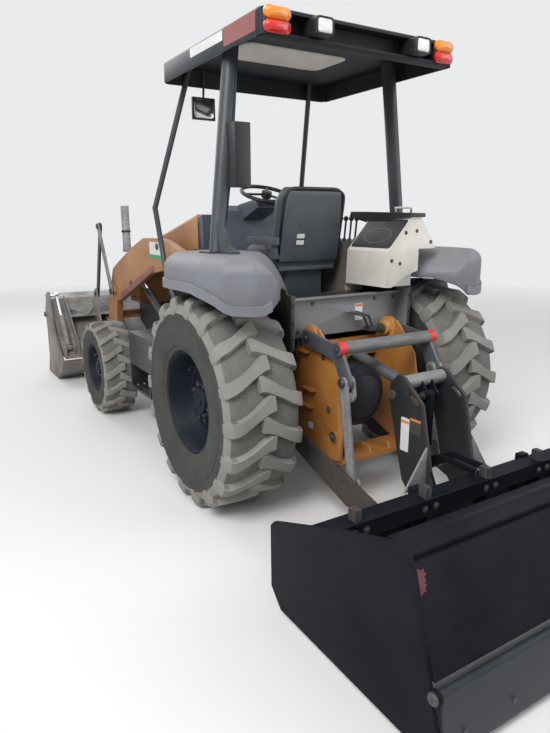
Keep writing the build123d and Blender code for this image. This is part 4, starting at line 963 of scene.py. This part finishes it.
class LOADER_OT_seat(bpy.types.Operator):
    """Builds the seat's stuffed pads, piping and screws"""

    bl_idname = "loader.seat"
    bl_label = "Seat"

    def execute(self, context):
        for name, size, middle, rise in PADS:
            pad = put_piece(name, cushion(size, at(*middle), TO_LEFT, rise), "seat_vinyl", sharp=180)
        line = [at(*place) for place in PIPING] + [at(x, -y, z) for x, y, z in reversed(PIPING)]
        piping = sweep(rounded(line, 0.05), circle(0.0125), (1, 0, 0.2))
        put_piece("seat_piping", piping, "seat_vinyl", "black_plastic", sharp=180)
        fasten("seat_screws")
        return {"FINISHED"}


# Marker lamps at the corners of the roof's rear face: side, middle, width, and their lenses' middles
MARKERS = (("left", 0.603, 0.158), ("right", -0.580, 0.148))
MARKER_LENSES = (("amber_lens", 2.7315), ("red_lens", 2.6685))


class LOADER_OT_lamps(bpy.types.Operator):
    """Builds the lenses and bezels of the work lamps and the amber and red marker lamps"""

    bl_idname = "loader.lamps"
    bl_label = "Lamps"

    def execute(self, context):
        for side, word in SIDES:
            middle = at(-0.458, side * 0.350, 2.695)
            glass = slab(soft_box(0.090, 0.066, 0.012), middle, TO_RIGHT, UP, 0.004, 0.001, 0.007)
            put_piece("work_lamp_lens_" + word, glass, "lamp_glass")
            rim = soft_box(0.104, 0.080, 0.016)
            path = np.stack([np.full(len(rim), -0.002), *rim.T], axis=1) + middle
            bezel = sweep(np.concatenate([path, path[:2]]), circle(0.0045), FORWARD)
            put_piece("work_lamp_bezel_" + word, bezel, "black_plastic")
        for word, y, width in MARKERS:
            base = slab(soft_box(width * 0.94, 0.120, 0.028), at(-0.352, y, 2.700), TO_RIGHT, UP, 0.042, 0.003)
            piece = put_piece("marker_base_" + word, base, "black_plastic")
            if word == "left":
                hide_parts("marker_lamps")
            for finish, z in MARKER_LENSES:
                glass = slab(soft_box(width, 0.0605, 0.029, 8), at(-0.388, y, z), TO_RIGHT, UP, 0.020, 0.004, 0.017)
                put_piece(f"{finish}_{word}", glass, "amber", finish)
        return {"FINISHED"}


# The tray's corners: end, way it faces, middle of the outer rounding
TRAY_ENDS = (("front", 1, 0.909), ("rear", -1, -0.328))
TRAY_Y, TRAY_LOW, TRAY_DEPTH, TRAY_OUTER, TRAY_INNER = 0.631, 2.636, 0.107, 0.0592, 0.0470
TRAY_ARC = (12, 78)  # degrees from the machine's length


class LOADER_OT_canopy(bpy.types.Operator):
    """Builds the mirror's glass, the headliner's pad and the pieces that close the roof's corners"""

    bl_idname = "loader.canopy"
    bl_label = "Canopy fittings"

    def execute(self, context):
        glass = slab(soft_box(0.150, 0.122, 0.020), at(0.946, 0.388, 2.495), TO_RIGHT, UP, 0.002)
        put_piece("mirror_glass", glass, "chrome", "chrome_rod")
        pad = slab(soft_box(0.37, 0.76, 0.06), at(0.335, 0.090, 2.7445), FORWARD, TO_RIGHT, 0.010, 0.004, 0.006)
        put_piece("headliner_pad", pad, "beige_plastic")
        # Each corner piece is the rounding's arc at two radii, drawn upwards
        turn = np.radians(np.linspace(*TRAY_ARC, 9))
        arc = np.stack([np.cos(turn), np.sin(turn)], axis=1)
        for end, way, x in TRAY_ENDS:
            for side, word in SIDES:
                outline = np.concatenate([arc * TRAY_OUTER, arc[::-1] * TRAY_INNER]) * (way, side)
                corner = slab(outline, at(x, side * TRAY_Y, TRAY_LOW), FORWARD, TO_LEFT, TRAY_DEPTH)
                put_piece(f"roof_corner_{end}_{word}", corner, "black_paint", "tray_black")
        return {"FINISHED"}


CONSOLE_SLOPE = (0.0, -0.188, 0.209)
LEVERS = 5
OVALS = ((100, 0.007), (72, 0.004), (45, 0.004))  # the vent's rings: size in per cent, radius of the bead
OVAL_REACH = (0.12, 0.06)


class LOADER_OT_console(bpy.types.Operator):
    """Builds the console's vent with its oval rings, its screws and the levers' boots"""

    bl_idname = "loader.console"
    bl_label = "Console"

    def execute(self, context):
        vent = slab(soft_box(0.385, 0.235, 0.02), at(-0.20, -0.291, 1.6320), FORWARD, CONSOLE_SLOPE, 0.003)
        put_piece("console_vent", vent, "black_plastic")
        across, slope, out = plane_of(FORWARD, CONSOLE_SLOPE)
        middle = np.array(at(-0.20, -0.282, 1.6214)) + 0.006 * out
        turn = np.linspace(0, 2 * pi, 40)
        long, wide = OVAL_REACH
        oval = long * np.cos(turn)[:, None] * across + wide * np.sin(turn)[:, None] * slope
        for percent, bead in OVALS:
            ring = sweep(middle + percent / 100 * oval, circle(bead), out)
            put_piece(f"console_oval_{percent}", ring, "grey_plastic")
        fasten("console_screws")
        boots = [lathe(BOOT, at(0.15 + 0.06 * n, -0.375, 1.555), (-0.1, 0, 1), 20) for n in range(LEVERS)]
        put_piece("lever_boots", gather(boots), "black_plastic")
        return {"FINISHED"}


class LOADER_OT_cowl(bpy.types.Operator):
    """Builds the gauges' rims and the cowl's seams"""

    bl_idname = "loader.cowl"
    bl_label = "Cowl"

    def execute(self, context):
        gauges = [lathe(GAUGE_RIM, at(0.716, y, 1.836), (-0.83, 0, 0.555), 28) for y in (0.055, 0.0, -0.055)]
        put_piece("gauge_rims", gather(gauges), "black_plastic")
        for side, word in SIDES:
            seam = sweep([at(1.168, side * 0.3605, z) for z in (0.92, 1.70)], circle(0.004, 6), TO_LEFT)
            put_piece("cowl_seam_" + word, seam, "grey_plastic", "black_plastic")
        return {"FINISHED"}


SEAT_RISE = (-0.19, 0, 1)
LABEL_THICK, LABEL_EDGE, LABEL_CORNER = 0.0012, 0.0003, 0.006
# Blank labels: name, body, middle, across, rise, width, height, finish
LABELS = [
    ("seat_label_upper", "chassis", (0.137, 0.092, 1.616), TO_RIGHT, SEAT_RISE, 0.062, 0.030, "label_white"),
    ("seat_label_lower", "chassis", (0.146, 0.092, 1.574), TO_RIGHT, SEAT_RISE, 0.062, 0.030, "label_white"),
    ("mast_label_tall", "box_scraper", (-0.995, 0.170, 0.590), TO_REAR, UP, 0.062, 0.190, "label_white"),
    ("mast_label_head", "box_scraper", (-0.995, 0.1705, 0.662), TO_REAR, UP, 0.058, 0.016, "label_orange"),
    ("mast_label_square", "box_scraper", (-1.070, 0.170, 0.655), TO_REAR, UP, 0.080, 0.085, "label_dark"),
    ("mast_label_strip", "box_scraper", (-1.070, 0.1705, 0.690), TO_REAR, UP, 0.076, 0.012, "label_orange"),
    ("panel_label", "chassis", (-0.230, -0.117, 1.140), TO_RIGHT, UP, 0.062, 0.110, "label_white"),
    ("panel_label_head", "chassis", (-0.2305, -0.117, 1.183), TO_RIGHT, UP, 0.058, 0.018, "label_orange"),
    ("hitch_label", "chassis", (-0.320, 0.316, 0.470), TO_REAR, UP, 0.050, 0.040, "label_white"),
    ("arm_plate_white", "loader_arms", (1.588, 0.5605, 1.4925), TO_REAR, UP, 0.315, 0.105, "label_white"),
    ("arm_plate_green", "loader_arms", (1.588, 0.5605, 1.4240), TO_REAR, UP, 0.315, 0.030, "label_green"),
    ("roof_label_white", "chassis", (0.262, 0.691, 2.720), TO_REAR, UP, 0.44, 0.052, "label_white"),
    ("roof_label_red", "chassis", (-0.150, 0.691, 2.704), TO_REAR, UP, 0.355, 0.095, "label_red"),
]


class LOADER_OT_labels(bpy.types.Operator):
    """Sets the blank labels and plates"""

    bl_idname = "loader.labels"
    bl_label = "Blank labels"

    def execute(self, context):
        for name, body, middle, across, rise, width, height, finish in LABELS:
            outline = soft_box(width, height, min(LABEL_CORNER, height / 4), 3)
            label = slab(outline, at(*middle), across, rise, LABEL_THICK, LABEL_EDGE)
            put_piece(name, label, "black_plastic", finish, body, smooth=False)
        return {"FINISHED"}


# Hitch and box

BACK_SLOPE = (0.4158, 0.0, 0.9095)
SMEAR = [(-0.026, -0.040), (-0.010, -0.044), (0.002, -0.036), (0.012, -0.037), (0.010, -0.024), (0.021, -0.019),
         (0.012, -0.010), (0.024, -0.003), (0.017, 0.008), (0.030, 0.016), (0.019, 0.024), (0.026, 0.034),
         (0.008, 0.031), (0.000, 0.040), (-0.014, 0.036), (-0.026, 0.041)]
# The box's back leans along BACK_SLOPE. The shanks stand in a row: how many, the first one's Y, their distance
SHANKS, FIRST_SHANK, SHANK_STEP = 5, -0.84, 0.42
SHANK_TIP = np.array([(-1.354, 0.148), (-1.304, 0.058), (-1.346, 0.068), (-1.392, 0.138)])


def shank_end(y):
    """A shank's cap, its two clamp bolts and its worn tip, for the shank at this Y."""
    middle = SHANK_TIP.mean(axis=0)
    return [slab(soft_box(0.048, 0.034, 0.004, 3), at(-1.400, y, 0.510), FORWARD, TO_LEFT, 0.004),
            *(bolt(at(-1.4405, y + d, 0.420), TO_REAR, 0.012) for d in (-0.035, 0.035)),
            slab((SHANK_TIP - middle) * 1.06, at(middle[0], y + 0.017, middle[1]), FORWARD, UP, 0.034, 0.002)]


class LOADER_OT_hitch(bpy.types.Operator):
    """Builds the hitch's bolts and pin ends, the red bands and the box scraper's fittings"""

    bl_idname = "loader.hitch"
    bl_label = "Hitch and box"

    def execute(self, context):
        fasten("chassis_bolts")
        fasten("rockshaft_pins")
        for side, word in SIDES:
            band = lathe([(y * side, r) for y, r in RED_BAND], at(-0.640, 0.0, 1.020), TO_LEFT, 40, closed=True)
            put_piece("red_band_" + word, band, "grey_paint", "red_band_paint", "rockshaft")
        ends = []
        for side, _ in SIDES:
            ends.append(lathe(LINK_END, at(-0.800, side * 0.348, 0.262), (0, -side, 0), 28))
            ends.append(lathe(LINK_NUT, at(-0.803, side * 0.374, 0.245), (0, side, 0), 28))
        put_piece("lift_link_ends", gather(ends), "chrome", "bright_steel", "lift_links")
        fasten("box_bolts")
        smear = slab(SMEAR, at(-2.0160, 1.072, 0.590), TO_RIGHT, BACK_SLOPE, 0.0009, 0.0003)
        put_piece("red_smear", smear, "black_paint", "smear_red", "box_scraper")
        shanks = [part for n in range(SHANKS) for part in shank_end(FIRST_SHANK + SHANK_STEP * n)]
        put_piece("shank_ends", gather(shanks), "black_paint", "bolt_steel", "scarifier_bar")
        fasten("flap_bolts")
        return {"FINISHED"}


class LOADER_OT_loader(bpy.types.Operator):
    """Builds the loader's pin ends, the bucket's bolts and cutting edge and the exhaust's band"""

    bl_idname = "loader.loader"
    bl_label = "Loader and bucket"

    def execute(self, context):
        for name in ("arm_pins", "lever_pins", "bucket_pins", "edge_bolts"):
            fasten(name)
        lip = slab(soft_box(0.112, 2.13, 0.008, 3), at(3.944, 0.0, 0.0200), FORWARD, TO_LEFT, 0.0015)
        put_piece("cutting_edge", lip, "dusty_steel", "bright_steel", "bucket_jaw")
        fasten("nose_bolts")
        put_piece("exhaust_band", lathe(EXHAUST_BAND, at(2.900, 0.384, 1.602), UP, 36), "black_paint")
        return {"FINISHED"}


class LOADER_PT_sidebar(bpy.types.Panel):
    """Lists the loader's colours and groups of pieces"""

    bl_idname = "LOADER_PT_sidebar"
    bl_label = "Tractor loader"
    bl_space_type = "VIEW_3D"
    bl_region_type = "UI"
    bl_category = "Loader"

    def draw(self, context):
        for name in LoaderColours.__annotations__:
            self.layout.prop(settings(), name)
        for step in STEPS:
            self.layout.operator(step.bl_idname)


STEPS = (LOADER_OT_stage, LOADER_OT_finishes, LOADER_OT_dress_frame, LOADER_OT_wheels, LOADER_OT_fender_lips,
         LOADER_OT_seat, LOADER_OT_lamps, LOADER_OT_canopy, LOADER_OT_console, LOADER_OT_cowl, LOADER_OT_labels,
         LOADER_OT_hitch, LOADER_OT_loader)
CLASSES = (LoaderColours, *STEPS, LOADER_PT_sidebar)


def register():
    for cls in CLASSES:
        bpy.utils.register_class(cls)
    bpy.types.Scene.loader_colours = bpy.props.PointerProperty(type=LoaderColours)


def unregister():
    del bpy.types.Scene.loader_colours
    for cls in reversed(CLASSES):
        bpy.utils.unregister_class(cls)


def build():
    """Runs every step in order."""
    register()
    for step in STEPS:
        getattr(bpy.ops.loader, step.bl_idname.removeprefix("loader."))()


if __name__ == "__main__":
    build()
